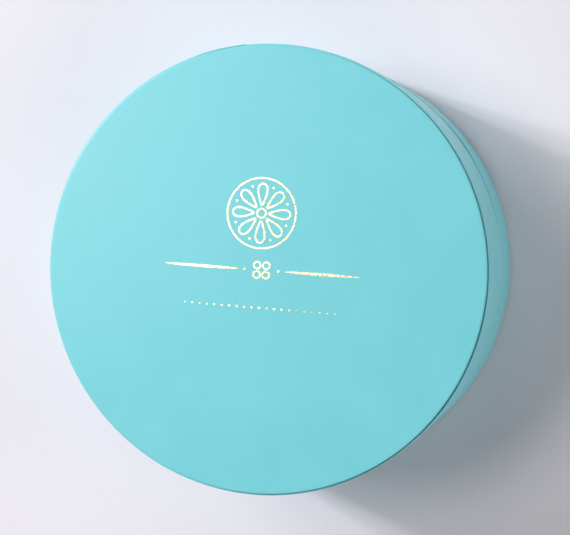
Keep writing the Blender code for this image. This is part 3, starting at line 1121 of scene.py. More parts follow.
@dataclass
class Base:
    """Lower half: wrapped tube and disc, with the lined neck and the ring that carries the insert."""

    stock: Stock
    join: StripJoin
    turn_in: float = mm(10.0)
    turn_under: float = mm(8.0)
    bottom_inset: float = mm(3.0)
    neck_rise: float = mm(14.0)
    neck_tuck: float = mm(12.0)
    neck_join: StripJoin = StripJoin(degrees=128.0, overlap=mm(9.0), step=mm(0.10))
    rim_swell: float = mm(0.18)  # how far the rim's fold stands proud where it isn't ironed flat
    rim_swell_degrees: float = 37.0
    rim_swell_spread: float = 9.0
    rim_swell_depth: float = mm(5.0)  # how far down the side the swelling reaches
    rim_painted_shade: float = 0.42  # how dark the shade painted on the rim's outer fold is where it swells most
    rim_shade_all_round: float = 0.25  # share of that all round the rim
    rim_shade_reach: float = mm(0.7)

    def build(self) -> None:
        """Build the base's sheets and dress its boards."""
        self.build_side_strip()
        self.build_flat_sheets()
        self.build_neck_paper()
        dress_nodes(GREYBOARD, "base_tube", "base_disc", "neck_tube", "spacer_ring")
        dress_nodes(STAY_TAPE, "base_stay_tape")

    def build_side_strip(self) -> None:
        """Blue strip: turned in at the rim, down the side and turned under the bottom."""
        stock = self.stock
        foot = stock.paper + stock.glue_gap
        outline = stock.fold([
            (stock.lining_radius, stock.base_rim - self.turn_in),
            (stock.lining_radius, stock.base_rim),
            (stock.outer_radius, stock.base_rim),
            (stock.outer_radius, foot),
            (stock.outer_radius - self.turn_under, foot),
        ], stock.rim_radius)
        self.paint_rim_shade(add_turned(
            "base_side_strip", COVER_PAPER, Body.BASE, "base_side_wrap", outline,
            self.join.columns(stock.outer_radius), self.side_warp,
        ))

    def side_warp(self, radius: np.ndarray, height: np.ndarray, angles: np.ndarray) -> Places:
        """Lift the strip's end where it is pasted over its start, and let the rim's fold swell.

        Args:
            radius: distances from the axis.
            height: heights above the table.
            angles: places round the box in radians.

        Returns:
            The moved radii and heights.
        """
        stock = self.stock
        at_rim = np.clip((height - stock.base_rim) / self.rim_swell_depth + 1, 0, 1) ** 2
        proud = self.join.lift(angles, stock.outer_radius) + at_rim * self.rim_swell * self.open_side(angles)
        return radius + stock.outside(radius) * proud, height

    def open_side(self, angles: np.ndarray) -> np.ndarray:
        """One in the middle of the rim's swollen part, and falling smoothly to zero on both sides."""
        away = (np.degrees(angles) - self.rim_swell_degrees) / self.rim_swell_spread
        return np.exp(-(away**2))

    def paint_rim_shade(self, mesh: Mesh) -> None:
        """Paint shade along the rim's outer fold, where it meets the lid, most of it where the rim swells.

        Args:
            mesh: the side strip's mesh, whose folds are marked already.
        """
        x, y, height = read_points(mesh).T
        around = self.rim_shade_all_round
        painted_shade = self.rim_painted_shade * (around + (1 - around) * self.open_side(np.arctan2(y, x)) ** 2)
        outer = np.hypot(x, y) > self.stock.outer_radius - self.rim_shade_reach
        attribute = mesh.attributes[FOLD].data
        values = np.empty(len(x))
        attribute.foreach_get("value", values)
        near = outer & (height > self.stock.base_rim - self.rim_shade_reach)
        attribute.foreach_set("value", np.where(near, -painted_shade, values))

    def build_flat_sheets(self) -> None:
        """Blue sheet under the bottom, which the box stands on, and white sheet on the floor inside."""
        stock = self.stock
        bottom = (stock.outer_radius - self.bottom_inset, stock.paper)
        floor = (stock.tube_bore - stock.glue_gap, stock.floor_top)
        for name, node, finish, (radius, height) in (
            ("base_bottom_sheet", "base_bottom_paper", COVER_PAPER, bottom),
            ("base_floor_sheet", "base_floor_lining", LINING_PAPER, floor),
        ):
            face = spread([Vector((0, height)), Vector((radius, height))], stock.longest_flat)
            add_turned(name, finish, Body.BASE, node, sheet(face, stock.paper))

    def build_neck_paper(self) -> None:
        """White paper over the neck: up the inside, over the rim and down behind the base's rim."""
        stock = self.stock
        top = stock.joint_height + self.neck_rise
        outline = stock.fold([
            (stock.inside_radius, stock.floor_top + stock.glue_gap),
            (stock.inside_radius, top),
            (stock.neck_face, top),
            (stock.neck_face, stock.joint_height - self.neck_tuck),
        ], stock.fold_radius)
        columns = self.neck_join.columns(stock.neck_face)
        add_turned("neck_paper", LINING_PAPER, Body.BASE, "neck_wrap", outline, columns, self.neck_warp)

    def neck_warp(self, radius: np.ndarray, height: np.ndarray, angles: np.ndarray) -> Places:
        """Lift the neck paper's pasted end on both faces of the neck.

        Args:
            radius: distances from the axis.
            height: heights above the table.
            angles: places round the box in radians.

        Returns:
            The moved radii and heights.
        """
        middle = (self.stock.neck_face + self.stock.inside_radius) / 2
        side = np.clip((radius - middle) / mm(0.4), -1, 1)
        return radius + side * self.neck_join.lift(angles, self.stock.neck_face), height


@dataclass
class Lid:
    """Upper half: wrapped tube and disc with a turned-down top sheet, lined and padded inside."""

    stock: Stock
    join: StripJoin
    top_edge: float = mm(0.4)
    top_rub: float = 0.12
    turn_down: float = mm(8.0)
    strip_drop: float = mm(0.98)
    strip_lean: float = mm(0.15)  # how much lower the strip's edge runs on its low side
    strip_lean_degrees: float = 285.0
    edge_press: float = mm(0.18)
    edge_press_ease: float = 0.45  # share of the pressing in that the low side is spared
    edge_depth: float = mm(4.0)  # how far down the side the edge's unevenness reaches
    edge_waver: tuple[float, float] = (mm(0.04), mm(0.05))  # how far the edge strays, in and up
    mouth_shift: float = mm(0.18)  # how far the lid's mouth stands off centre
    mouth_degrees: float = 220.0
    turn_in: float = mm(10.0)
    lining_join: StripJoin = StripJoin(degrees=70.0, overlap=mm(9.0), step=mm(0.10))
    satin: float = mm(0.3)
    satin_fold: float = mm(0.55)
    satin_gathers: float = mm(0.12)
    gathers_inset: float = mm(2.0)  # from the cover's edge to the middle of the gathers
    gathers_spread: float = mm(5.0)
    gathers_crowding: int = 3  # times as many waves as a pasted edge has
    pad_card: float = mm(1.0)
    pad_side_gap: float = mm(0.6)
    satin_turn_over: float = mm(8.0)
    pad_height: float = mm(2.6)
    pad_shoulder: float = mm(1.6)
    pad_rise: float = mm(1.0)
    pad_draw: float = mm(0.2)
    pad_steps: int = 144
    shoulder_steps: int = 8

    def build(self) -> None:
        """Build the lid's sheets and pad, and dress its boards."""
        self.build_top_sheet()
        self.build_side_strip()
        self.build_lining()
        self.build_pad()
        dress_nodes(GREYBOARD, "lid_tube", "lid_disc", "lid_pad_card")

    def build_top_sheet(self) -> None:
        """Blue top sheet, turned down over the tube behind the side strip."""
        stock = self.stock
        edge = stock.underlay_radius
        corners = [(0, stock.height), (edge, stock.height), (edge, stock.height - self.turn_down)]
        path = folded(corners, self.top_edge, stock.fold_steps, stock.fold_rest)
        outline = sheet(spread(path, stock.longest_flat), stock.paper)
        add_turned("lid_top_sheet", COVER_PAPER, Body.LID, "lid_top_paper", outline, rub=self.top_rub)

    def build_side_strip(self) -> None:
        """Blue side strip: from just below the top down to the rim, and turned in over it."""
        stock = self.stock
        outline = stock.fold([
            (stock.outer_radius, stock.height - self.strip_drop),
            (stock.outer_radius, stock.lid_rim),
            (stock.lining_radius, stock.lid_rim),
            (stock.lining_radius, stock.lid_rim + self.turn_in),
        ], stock.rim_radius)
        columns = self.join.columns(stock.outer_radius)
        add_turned("lid_side_strip", COVER_PAPER, Body.LID, "lid_side_wrap", outline, columns, self.side_warp)

    def side_warp(self, radius: np.ndarray, height: np.ndarray, angles: np.ndarray) -> Places:
        """Lift the strip's pasted end, press in its cut edge, which leans and wavers, and shift its mouth.

        Args:
            radius: distances from the axis.
            height: heights above the table.
            angles: places round the box in radians.

        Returns:
            The moved radii and heights.
        """
        stock = self.stock
        at_edge = np.clip((height - stock.height + self.strip_drop) / self.edge_depth + 1, 0, 1) ** 2
        down = np.clip((stock.height - height) / (stock.height - stock.joint_height), 0, 1)
        shift = self.mouth_shift * down * np.cos(angles - math.radians(self.mouth_degrees))
        lifted = radius + shift + stock.outside(radius) * self.join.lift(angles, stock.outer_radius)
        low_side = np.cos(angles - math.radians(self.strip_lean_degrees))
        strays = [waver(angles, size, seed) for size, seed in zip(self.edge_waver, (5, 7))]
        inward = self.edge_press * (1 - self.edge_press_ease * low_side) + strays[0]
        upward = strays[1] - self.strip_lean * low_side
        return lifted - at_edge * inward, height + at_edge * upward

    def build_lining(self) -> None:
        """White strip on the lid's wall, above the turn-in."""
        stock = self.stock
        join = self.lining_join
        wall = stock.lining_radius
        face = [
            Vector((wall, stock.lid_rim + self.turn_in + stock.glue_gap)),
            Vector((wall, stock.disc_underside - stock.glue_gap)),
        ]
        add_turned(
            "lid_wall_sheet", LINING_PAPER, Body.LID, "lid_wall_lining", sheet(face, stock.paper),
            join.columns(wall), lambda radius, height, around: (radius - join.lift(around, wall), height),
        )

    def build_pad(self) -> None:
        """Foam on a card under satin, crown down, with the satin turned over the card's back."""
        stock = self.stock
        cover = stock.glue_gap + self.satin
        back = stock.disc_underside - stock.glue_gap
        card_top = back - self.satin - stock.glue_gap
        foam_top = card_top - self.pad_card - stock.glue_gap
        form = PadForm(
            radius=stock.lining_radius - self.pad_side_gap - cover,
            height=self.pad_height, shoulder=self.pad_shoulder, rise=self.pad_rise, draw=self.pad_draw,
        )

        def face(out: float, crown_steps: int) -> Outline:
            """Face moved out from the foam's, from the foot to the middle of the crown, crown down."""
            side = form.side(out, self.shoulder_steps)[::-1]
            crown = np.linspace(side[-1].x, 0, crown_steps)[1:]
            points = side + [Vector((at, float(form.crown_height(at, out)))) for at in crown]
            return [Vector((point.x, foam_top - point.y)) for point in points]

        edge = form.foot_radius + cover
        corners = [(edge - self.satin_turn_over, back), (edge, back), (edge, card_top - self.pad_card)]
        section = folded(corners, self.satin_fold, CLOTH_FOLD_STEPS, CLOTH_REST) + face(cover, 26)
        radius, height, around = swept(section, round_angles(self.pad_steps))
        # Gathers where the satin is drawn over the card's edge, but not on its flat back
        below_back = height < back - mm(0.5)
        near_edge = np.exp(-(((radius - edge + self.gathers_inset) / self.gathers_spread) ** 2)) * below_back
        height = height + near_edge * np.abs(waver(around * self.gathers_crowding, self.satin_gathers, 11))
        rings = around_axis(radius, height, around)
        pad = add_piece(ring_mesh("lid_pad_cover", rings, closed=False), IVORY_SATIN)
        if np.mean([part.normal.z for part in pad.data.polygons if part.center.z < foam_top]) > 0:
            pad.data.flip_normals()
        ClothPass(pressure=2.0, cap=mm(0.4)).run(pad, read_points(pad.data)[:, 2] > foam_top)
        finish_soft(pad, self.satin)
        mount(pad, Body.LID, "lid_pad_satin")

        foam = [Vector((0, foam_top))] + face(0, 8)
        add_turned("lid_pad_core", FOAM, Body.LID, "lid_pad_foam", foam, steps=96)


@dataclass
class Insert:
    """Lift-out pad: velvet over foam on a card, with ring rolls in a window and a pull ribbon."""

    stock: Stock
    seat: float = mm(17.3)
    card: float = mm(1.5)
    velvet: float = mm(0.5)
    velvet_fold: float = mm(0.8)
    side_gap: float = mm(0.8)
    height: float = mm(8.5)
    shoulder: float = mm(4.0)
    rise: float = mm(1.8)
    draw: float = mm(0.4)
    turn_under: float = mm(8.5)
    window: tuple[float, float] = (mm(34.8), mm(19.8))
    window_roll: float = mm(1.6)
    window_corner_power: int = 10
    window_wall: tuple[float, float] = (mm(0.2), mm(2.6))  # wall's ends, from the foot and the crown
    window_steps: int = 6
    lip_steps: int = 5
    shoulder_steps: int = 10
    velvet_steps: tuple[int, int] = (200, 18)  # round the axis, and over the crown
    foam_steps: tuple[int, int] = (120, 10)
    roll: tuple[float, float] = (mm(34.0), mm(9.0))
    roll_slimmer: float = mm(0.3)  # how much the rolls are cut down before they swell
    roll_edges: tuple[float, float] = (mm(3.9), mm(1.2))  # radii at the top and at the foot
    roll_slit: float = mm(1.0)
    roll_proud: float = mm(0.6)
    chain_slit: tuple[float, float] = (mm(1.4), mm(6.0))
    chain_degrees: float = 32.0
    slit_overrun: float = mm(2.0)
    ribbon_width: float = mm(10.0)
    ribbon_thickness: float = mm(0.4)
    ribbon_gap: float = mm(0.4)
    ribbon_inset: float = mm(11.5)
    ribbon_tab: float = mm(19.0)
    ribbon_tilt: float = 14.0
    ribbon_stand: float = mm(3.0)  # crown to the corner of the ribbon's bend
    ribbon_bend: float = mm(1.0)
    ribbon_foot: float = mm(8.0)
    ribbon_notch: float = mm(3.2)
    ribbon_cup: float = mm(0.35)
    ribbon_sharp: float = 40.0  # degrees above which its edges are drawn sharp

    @property
    def cover(self) -> float:
        """Distance from the foam's face to the velvet's."""
        return self.stock.glue_gap + self.velvet

    @property
    def form(self) -> PadForm:
        """The foam's form."""
        radius = self.stock.inside_radius - self.side_gap - self.cover
        return PadForm(radius, self.height, self.shoulder, self.rise, self.draw)

    @property
    def foam_foot(self) -> float:
        """Underside of the foam and of the ring rolls, on the card."""
        return self.seat + self.velvet + self.card + 2 * self.stock.glue_gap

    @property
    def crown_top(self) -> float:
        """Top of the velvet in the middle."""
        return self.foam_foot + self.height + self.rise + self.cover

    @property
    def ribbon_place(self) -> float:
        """Distance of the ribbon's slit from the axis, towards the front."""
        return self.form.radius + self.cover - self.ribbon_inset

    def build(self) -> None:
        """Build the insert's soft pieces and dress its card."""
        self.build_velvet()
        self.build_foam()
        self.build_ring_rolls()
        self.build_ribbon()
        dress_nodes(GREYBOARD, "insert_card")

    def window_reach(self, angles: np.ndarray, out: float) -> np.ndarray:
        """Distance from the middle to the window's outline.

        Args:
            angles: directions in radians.
            out: distance that the outline is moved out.

        Returns:
            Distances in metres.
        """
        across, deep = self.window[0] / 2 + out, self.window[1] / 2 + out
        power = self.window_corner_power
        sides = np.abs(np.cos(angles) / across) ** power + np.abs(np.sin(angles) / deep) ** power
        return sides ** (-1 / power)

    def surface(self, cover: float, angles: np.ndarray, crown_steps: int) -> list[Places]:
        """Rings of a face that lies over the foam, from the window's foot to the pad's foot.

        Args:
            cover: distance that the face is moved out from the foam's.
            angles: directions in radians.
            crown_steps: rings on the crown.

        Returns:
            For each ring its radii and heights, one for each angle.
        """
        form = self.form
        inner = self.cover - cover
        roll = self.window_roll - inner
        flat = np.ones_like(angles)
        low, high = self.window_wall
        wall = np.linspace(low, self.height + self.rise - high, self.window_steps)
        rings = [(self.window_reach(angles, inner), flat * (self.foam_foot + rise)) for rise in wall]
        for step in range(1, self.lip_steps + 1):
            turn = step / self.lip_steps * math.pi / 2
            radius = self.window_reach(angles, inner + roll * (1 - math.cos(turn)))
            lip = self.foam_foot + form.crown_height(radius, cover)
            rings.append((radius, lip - roll * (1 - math.sin(turn))))
        side = form.side(cover, self.shoulder_steps)
        start = self.window_reach(angles, inner + roll)
        for step in range(1, crown_steps):
            radius = start + (side[0].x - start) * step / crown_steps
            rings.append((radius, self.foam_foot + form.crown_height(radius, cover)))
        return rings + [(flat * point.x, flat * (self.foam_foot + point.y)) for point in side]

    def build_velvet(self) -> None:
        """Velvet: down into the window, over the crown, round the side and turned under the card."""
        steps, crown_steps = self.velvet_steps
        angles = round_angles(steps)
        rings = self.surface(self.cover, angles, crown_steps)
        edge = self.form.foot_radius + self.cover
        corners = [(rings[-1][0][0], self.foam_foot), (edge, self.seat), (edge - self.turn_under, self.seat)]
        under = folded(corners, self.velvet_fold, CLOTH_FOLD_STEPS, CLOTH_REST)
        for point in spread(under, mm(2))[1:]:
            rings.append((np.full_like(angles, point.x), np.full_like(angles, point.y)))
        places = around_axis(*np.array(rings).swapaxes(0, 1), angles)

        cover = add_piece(ring_mesh("insert_velvet_cover", places, closed=False), IVORY_VELVET)
        if sum(part.normal.z for part in cover.data.polygons if part.center.z > self.crown_top - mm(2)) < 0:
            cover.data.flip_normals()
        x, y, height = read_points(cover.data).T
        glued = height < self.foam_foot + mm(1)
        tucked = np.hypot(x, y) < self.window_reach(np.arctan2(y, x), 0) + mm(0.05)
        ClothPass(pressure=3.0, cap=mm(0.5)).run(cover, glued | tucked)
        finish_soft(cover, self.velvet)
        self.cut_slits(cover)
        mount(cover, Body.INSERT, "insert_velvet")

    def build_foam(self) -> None:
        """Foam disc below the velvet, with the window and the slits."""
        steps, crown_steps = self.foam_steps
        angles = round_angles(steps)
        places = around_axis(*np.array(self.surface(0, angles, crown_steps)).swapaxes(0, 1), angles)
        places[0, :, 2] = self.foam_foot
        foam = add_piece(ring_mesh("insert_foam_core", places, closed=True), FOAM)
        self.cut_slits(foam)
        mount(foam, Body.INSERT, "insert_foam")

    def cut_slits(self, piece: Object) -> None:
        """Cut the ribbon's slit and the two chain slits through a piece.

        Args:
            piece: the velvet or the foam.
        """
        over = self.slit_overrun
        tall = self.crown_top - self.seat + 2 * over
        middle = (self.crown_top + self.seat) / 2
        width, depth = self.chain_slit
        edge = self.form.radius + self.cover
        gap = 2 * self.ribbon_gap
        ribbon = Vector((self.ribbon_width + gap, self.ribbon_thickness + gap, tall))
        cutters = [(ribbon, Matrix.Translation((0, -self.ribbon_place, middle)))]
        for side in (-1, 1):
            turn = Matrix.Rotation(math.radians(side * self.chain_degrees), 4, "Z")
            place = Matrix.Translation((0, edge + (over - depth) / 2, middle))
            cutters.append((Vector((width, depth + over, tall)), turn @ place))
        for size, place in cutters:
            mesh = block("slit_cutter", size, width / 4, width / 4, width / 4)
            mesh.transform(place)
            cutter = add_object("slit_cutter", mesh)
            boolean = piece.modifiers.new("slit", "BOOLEAN")
            boolean.operation = "DIFFERENCE"
            boolean.solver = "EXACT"
            boolean.object = cutter
            apply_modifiers(piece)
            bpy.data.objects.remove(cutter)
        piece.data.set_sharp_from_angle(angle=math.radians(CLOTH_SHARP_DEGREES))

    def build_ring_rolls(self) -> None:
        """Two soft rolls side by side in the window, with the slit for a ring between them."""
        foot = self.foam_foot
        length, width = self.roll
        tall = self.crown_top + self.roll_proud - foot
        less = self.roll_slimmer
        size = Vector((length - less, width - less, tall - less / 2))
        for side, name in ((-1, "ring_roll_front"), (1, "ring_roll_back")):
            mesh = block(name, size, *self.roll_edges, mm(0.9))
            mesh.transform(Matrix.Translation((0, side * (width + self.roll_slit) / 2, foot + tall / 2)))
            roll = add_piece(mesh, IVORY_VELVET, f"{name}_velvet")
            ClothPass(pressure=3.0, cap=mm(0.25)).run(roll, read_points(mesh)[:, 2] < foot + mm(1.5))
            finish_soft(roll)
            mount(roll, Body.INSERT, name)

    def build_ribbon(self) -> None:
        """Pull ribbon: a foot under the card, a run up through the slit and a tab over the velvet."""
        foot = self.seat + self.velvet - self.ribbon_thickness / 2
        bend = self.crown_top + self.ribbon_stand
        tilt = math.radians(self.ribbon_tilt)
        end = (self.ribbon_tab * math.cos(tilt), bend + self.ribbon_tab * math.sin(tilt))
        corners = [(self.ribbon_foot, foot), (0, foot), (0, bend), end]
        across = np.linspace(-0.5, 0.5, 13)
        lines = []
        for point in spread(folded(corners, self.ribbon_bend, 8, mm(0.5)), mm(1)):
            # The tab cups a little across its width, and its end is cut to a notch against fraying
            out = max(0.0, point.x / end[0]) * (point.y > bend)
            rise = point.y + self.ribbon_cup * out * (2 * across) ** 2
            back = self.ribbon_notch * out**4 * (1 - np.abs(2 * across))
            place = point.x - self.ribbon_place - back * math.cos(tilt)
            lines.append(np.stack([across * self.ribbon_width, place, rise - back * math.sin(tilt)], axis=1))
        count = len(across)
        faces = [
            (start + at, start + at + 1, start + count + at + 1, start + count + at)
            for start in range(0, count * (len(lines) - 1), count) for at in range(count - 1)
        ]
        mesh = bpy.data.meshes.new("pull_ribbon_satin")
        mesh.from_pydata(np.concatenate(lines).tolist(), [], faces)
        ribbon = add_piece(mesh, BLUE_SATIN)
        thickness = self.ribbon_thickness
        finish_soft(ribbon, thickness, outwards=0.0, smooth=False, sharp_degrees=self.ribbon_sharp)
        mount(ribbon, Body.INSERT, "pull_ribbon")


@dataclass
class FoilOrnament:
    """Generic ornament stamped on the lid: a rosette in a ring, a tapered rule and a dotted rule.

    The rosette's sizes are shares of its ring's radius, and those of dots and strokes are
    shares of the line's width.
    """

    stock: Stock
    line: float = mm(0.42)
    foil: float = mm(0.04)
    lift: float = mm(0.01)
    lean_degrees: float = -2.3
    rosette_place: tuple[float, float] = (mm(-1.0), mm(15.0))
    rosette_radius: float = mm(9.3)
    petals: int = 8
    hub: float = 0.13
    petal_ends: tuple[float, float] = (0.22, 0.84)
    petal_width: float = 0.19
    petal_taper: float = 0.38  # how much fuller a petal is at its tip than at its root
    between_petals: float = 0.8
    petal_dot: float = 0.75
    rule_length: float = mm(53.0)
    rule_start: float = mm(6.2)
    rule_stroke: float = 1.7
    rule_taper: float = 0.6
    rule_dot_place: float = mm(4.6)
    rule_dot: float = 0.8
    leaf_place: float = mm(1.75)
    leaf_radius: float = mm(0.92)
    dotted_length: float = mm(41.0)
    dotted_drop: float = mm(10.0)
    dots: int = 21
    dot_radii: tuple[float, float] = (mm(0.2), mm(0.36))  # at the ends and in the middle
    ring_facets: int = 96
    petal_facets: int = 48
    leaf_facets: int = 32
    dot_facets: int = 16
    rule_points: int = 40

    def build(self) -> None:
        """Stamp the ornament on the lid's top."""
        shape = bmesh.new()
        self.add_rosette(shape)
        self.add_rule(shape)
        self.add_dotted_rule(shape)
        lean = Matrix.Rotation(math.radians(self.lean_degrees), 3, "Z")
        bmesh.ops.rotate(shape, matrix=lean, verts=shape.verts)
        bmesh.ops.translate(shape, vec=(0, 0, self.stock.height + self.lift), verts=shape.verts)
        parts = bmesh.ops.extrude_face_region(shape, geom=shape.faces[:])["geom"]
        upper = [part for part in parts if isinstance(part, bmesh.types.BMVert)]
        bmesh.ops.translate(shape, vec=(0, 0, self.foil), verts=upper)
        mesh = keep_shape(shape, bpy.data.meshes.new("foil_ornament"))
        mount(add_piece(mesh, GOLD_FOIL), Body.LID)

    def add_band(
        self, shape: bmesh.types.BMesh, points: np.ndarray, widths: np.ndarray, closed: bool = False
    ) -> None:
        """Add a flat band along a line.

        Args:
            shape: the mesh that it joins.
            points: the line's points in the lid's plane.
            widths: the band's width at each point.
            closed: join the last point to the first.
        """
        if closed:
            way = np.roll(points, -1, axis=0) - np.roll(points, 1, axis=0)
        else:
            way = np.gradient(points, axis=0)
        way /= np.linalg.norm(way, axis=1)[:, None]
        side = np.stack([-way[:, 1], way[:, 0]], axis=1) * widths[:, None] / 2
        left = [shape.verts.new((*place, 0)) for place in points + side]
        right = [shape.verts.new((*place, 0)) for place in points - side]
        count = len(points)
        for at in range(count if closed else count - 1):
            after = (at + 1) % count
            shape.faces.new([left[at], left[after], right[after], right[at]])

    def add_loop(self, shape: bmesh.types.BMesh, points: np.ndarray) -> None:
        """Add a closed line of the ornament's usual width."""
        self.add_band(shape, points, np.full(len(points), self.line), closed=True)

    def add_dot(self, shape: bmesh.types.BMesh, centre: Sequence[float], radius: float) -> None:
        """Add a filled dot, given its centre in the lid's plane and its radius."""
        edge = np.array(centre) + radius * circle(self.dot_facets)
        shape.faces.new([shape.verts.new((*place, 0)) for place in edge])

    def add_rosette(self, shape: bmesh.types.BMesh) -> None:
        """Eight outlined petals round a small ring, inside a thin ring with a dot between petals.

        Args:
            shape: the mesh that they join.
        """
        middle, radius = np.array(self.rosette_place), self.rosette_radius
        for share in (1, self.hub):
            self.add_loop(shape, middle + radius * share * circle(self.ring_facets))
        root, tip = (radius * share for share in self.petal_ends)
        out, across = circle(self.petal_facets).T
        along = (root + tip) / 2 - (tip - root) / 2 * out
        wide = radius * self.petal_width * across * (1 - self.petal_taper - self.petal_taper * out)
        for way in circle(self.petals, math.pi / 2):
            side = np.array([-way[1], way[0]])
            self.add_loop(shape, middle + along[:, None] * way + wide[:, None] * side)
        for way in circle(self.petals, math.pi / 2 + math.pi / self.petals):
            self.add_dot(shape, middle + radius * self.between_petals * way, self.line * self.petal_dot)

    def add_rule(self, shape: bmesh.types.BMesh) -> None:
        """Two tapered strokes with a four-leaved flower and dots between them.

        Args:
            shape: the mesh that they join.
        """
        along = np.linspace(self.rule_start, self.rule_length / 2, self.rule_points)
        # The ends stay a little wider than nothing
        share = np.clip(np.linspace(0, 1, self.rule_points), 0.02, 0.98)
        widths = self.line * self.rule_stroke * np.sin(math.pi * share) ** self.rule_taper
        for side in (-1, 1):
            self.add_band(shape, np.stack([side * along, np.zeros_like(along)], axis=1), widths)
            self.add_dot(shape, (side * self.rule_dot_place, 0), self.line * self.rule_dot)
        for way in circle(4, math.pi / 4):
            self.add_loop(shape, self.leaf_place * way + self.leaf_radius * circle(self.leaf_facets))

    def add_dotted_rule(self, shape: bmesh.types.BMesh) -> None:
        """A row of dots below the rule, larger towards its middle.

        Args:
            shape: the mesh that they join.
        """
        small, large = self.dot_radii
        for place in np.linspace(-1, 1, self.dots):
            centre = (place * self.dotted_length / 2, -self.dotted_drop)
            self.add_dot(shape, centre, large + (small - large) * abs(place))


# The setting


def towards(azimuth: float, elevation: float) -> Vector:
    """Unit vector at an azimuth from +X towards +Y and an elevation, both in degrees."""
    turn, lift = math.radians(azimuth), math.radians(elevation)
    return Vector((math.cos(turn) * math.cos(lift), math.sin(turn) * math.cos(lift), math.sin(lift)))


@dataclass(frozen=True)
class Viewpoint:
    """Camera in the photograph's place: almost overhead, a little to the right. Angles in degrees."""

    aim: tuple[float, float, float] = (mm(6.35), mm(0.92), mm(60.0))
    azimuth: float = 8.57
    elevation: float = 76.61
    distance: float = mm(412.6)
    roll: float = 1.543
    lens: float = 99.05

    def build(self) -> None:
        """Make the camera and let the scene use it."""
        camera = add_object("camera", bpy.data.cameras.new("camera"))
        camera.data.lens = self.lens
        camera.data.clip_start = mm(10)
        back = towards(self.azimuth, self.elevation)
        right = Vector((0, 1, 0)).cross(back).normalized()
        facing = Matrix((right, back.cross(right), back)).transposed()
        facing = facing @ Matrix.Rotation(math.radians(self.roll), 3, "Z")
        camera.matrix_world = Matrix.Translation(Vector(self.aim) + back * self.distance) @ facing.to_4x4()
        bpy.context.scene.camera = camera


@dataclass(frozen=True)
class Lamp:
    """One round soft lamp, aimed at the middle of the floor.

    azimuth, elevation: where it stands, in degrees, from +X towards +Y and up from the floor.
    colour: its light's colour, as an sRGB hex code.
    """

    name: str
    azimuth: float
    elevation: float
    distance: float
    size: float
    watts: float
    colour: str = "FFFFFF"

    def build(self) -> None:
        """Add the lamp to the scene."""
        light = bpy.data.lights.new(self.name, "AREA")
        light.shape = "DISK"
        light.size = self.size
        light.energy = self.watts
        light.color = linear(self.colour)[:3]
        lamp = add_object(self.name, light)
        out = towards(self.azimuth, self.elevation)
        lamp.location = out * self.distance
        lamp.rotation_euler = out.to_track_quat("Z", "Y").to_euler()


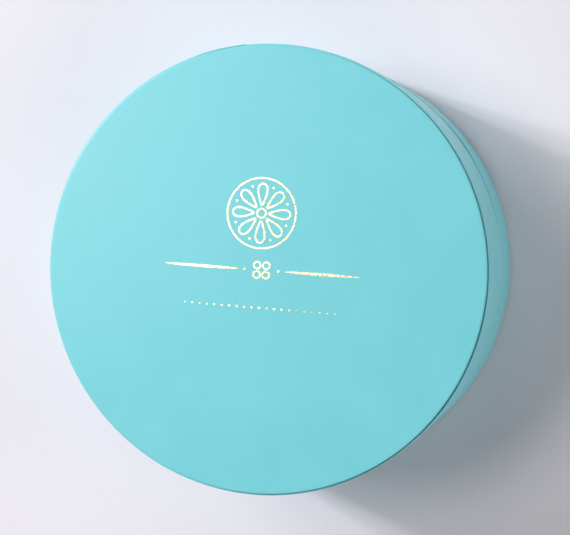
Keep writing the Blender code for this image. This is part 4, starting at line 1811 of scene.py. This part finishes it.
@dataclass(frozen=True)
class Studio:
    """Pale floor, lamps mostly at the upper left, and a dim room with a pale backdrop.

    sweep: distances from the box's axis at which the floor starts to pass into the backdrop, and ends.
    """

    floor_radius: float = 6.0
    lamps: tuple[Lamp, ...] = (
        Lamp("window_low", 155.0, 34.0, 1.6, 0.09, 6.1),
        Lamp("window_high", 160.0, 44.0, 1.6, 0.09, 5.6),
        Lamp("window_edge", 140.0, 40.0, 2.0, 1.0, 11.4),
        Lamp("ceiling", 167.0, 65.0, 2.0, 0.6, 8.6),
        Lamp("wall_behind", 100.0, 40.0, 2.0, 1.0, 2.8, "FFF7F3"),
        Lamp("wall_in_front", 300.0, 40.0, 2.0, 1.0, 6.0, "FFF7F3"),
        Lamp("wall_at_right", 0.0, 12.0, 2.0, 1.0, 10.4, "FFF7F3"),
    )
    room: str = "FFF8F6"
    room_strength: float = 0.1
    backdrop: str = "E1E3E9"
    sweep: tuple[float, float] = (0.13, 0.6)

    def build(self) -> None:
        """Build the floor, the lamps and the room."""
        self.build_floor()
        for lamp in self.lamps:
            lamp.build()
        self.build_room()
        bpy.context.scene.view_settings.view_transform = "Standard"

    def build_floor(self) -> None:
        """Round floor under the box, which passes into the backdrop far from the box."""
        shape = bmesh.new()
        bmesh.ops.create_circle(shape, cap_ends=True, segments=96, radius=self.floor_radius)
        mesh = bpy.data.meshes.new("floor")
        shape.to_mesh(mesh)
        shape.free()
        add_piece(mesh, FLOOR_BOARD)

        tree = FLOOR_BOARD.material().node_tree
        place = add_node(tree, "TexCoord", {}, "Object")
        reach = add_node(tree, "VectorMath", {0: place}, "Value", operation="LENGTH")
        ends = {"Value": reach, "From Min": self.sweep[0], "From Max": self.sweep[1]}
        far = add_node(tree, "MapRange", ends, interpolation_type="SMOOTHSTEP")
        share = add_node(tree, "Math", {0: far, 1: self.seen(tree)}, operation="MULTIPLY")
        pale = add_node(tree, "Emission", {"Color": linear(self.backdrop), "Strength": 1.0})
        surface = tree.nodes["Principled BSDF"].outputs["BSDF"]
        mix = add_node(tree, "MixShader", {0: share, 1: surface, 2: pale})
        feed(tree, tree.nodes["Material Output"], {"Surface": mix})

    @staticmethod
    def seen(tree: NodeTree) -> NodeSocket:
        """One where the camera, a reflection or clear material looks, and zero for light.

        Args:
            tree: the floor's or the world's node tree.

        Returns:
            The output that holds it.
        """
        either = add_node(tree, "LightPath", {}, "Is Camera Ray")
        rays = either.node.outputs
        for kind in ("Is Glossy Ray", "Is Transmission Ray"):
            either = add_node(tree, "Math", {0: either, 1: rays[kind]}, operation="MAXIMUM")
        return either

    def build_room(self) -> None:
        """Even soft light from all sides, seen as a pale backdrop by the camera and in reflections."""
        world = bpy.data.worlds.new("room")
        world.use_nodes = True
        bpy.context.scene.world = world
        tree = world.node_tree
        soft = tree.nodes["Background"]
        feed(tree, soft, {"Color": linear(self.room), "Strength": self.room_strength})
        pale = add_node(tree, "Background", {"Color": linear(self.backdrop), "Strength": 1.0})
        mix = add_node(tree, "MixShader", {0: self.seen(tree), 1: soft.outputs["Background"], 2: pale})
        feed(tree, tree.nodes["World Output"], {"Surface": mix})


def main() -> None:
    """Build the setting and the box, part by part."""
    logging.basicConfig(level=logging.INFO, format="%(name)s: %(message)s")
    stock = Stock()
    join = StripJoin()
    parts = (Viewpoint(), Studio(), Base(stock, join), Lid(stock, join), Insert(stock), FoilOrnament(stock))
    for part in parts:
        part.build()
        LOG.info("%s is built", type(part).__name__)


if __name__ == "__main__":
    main()
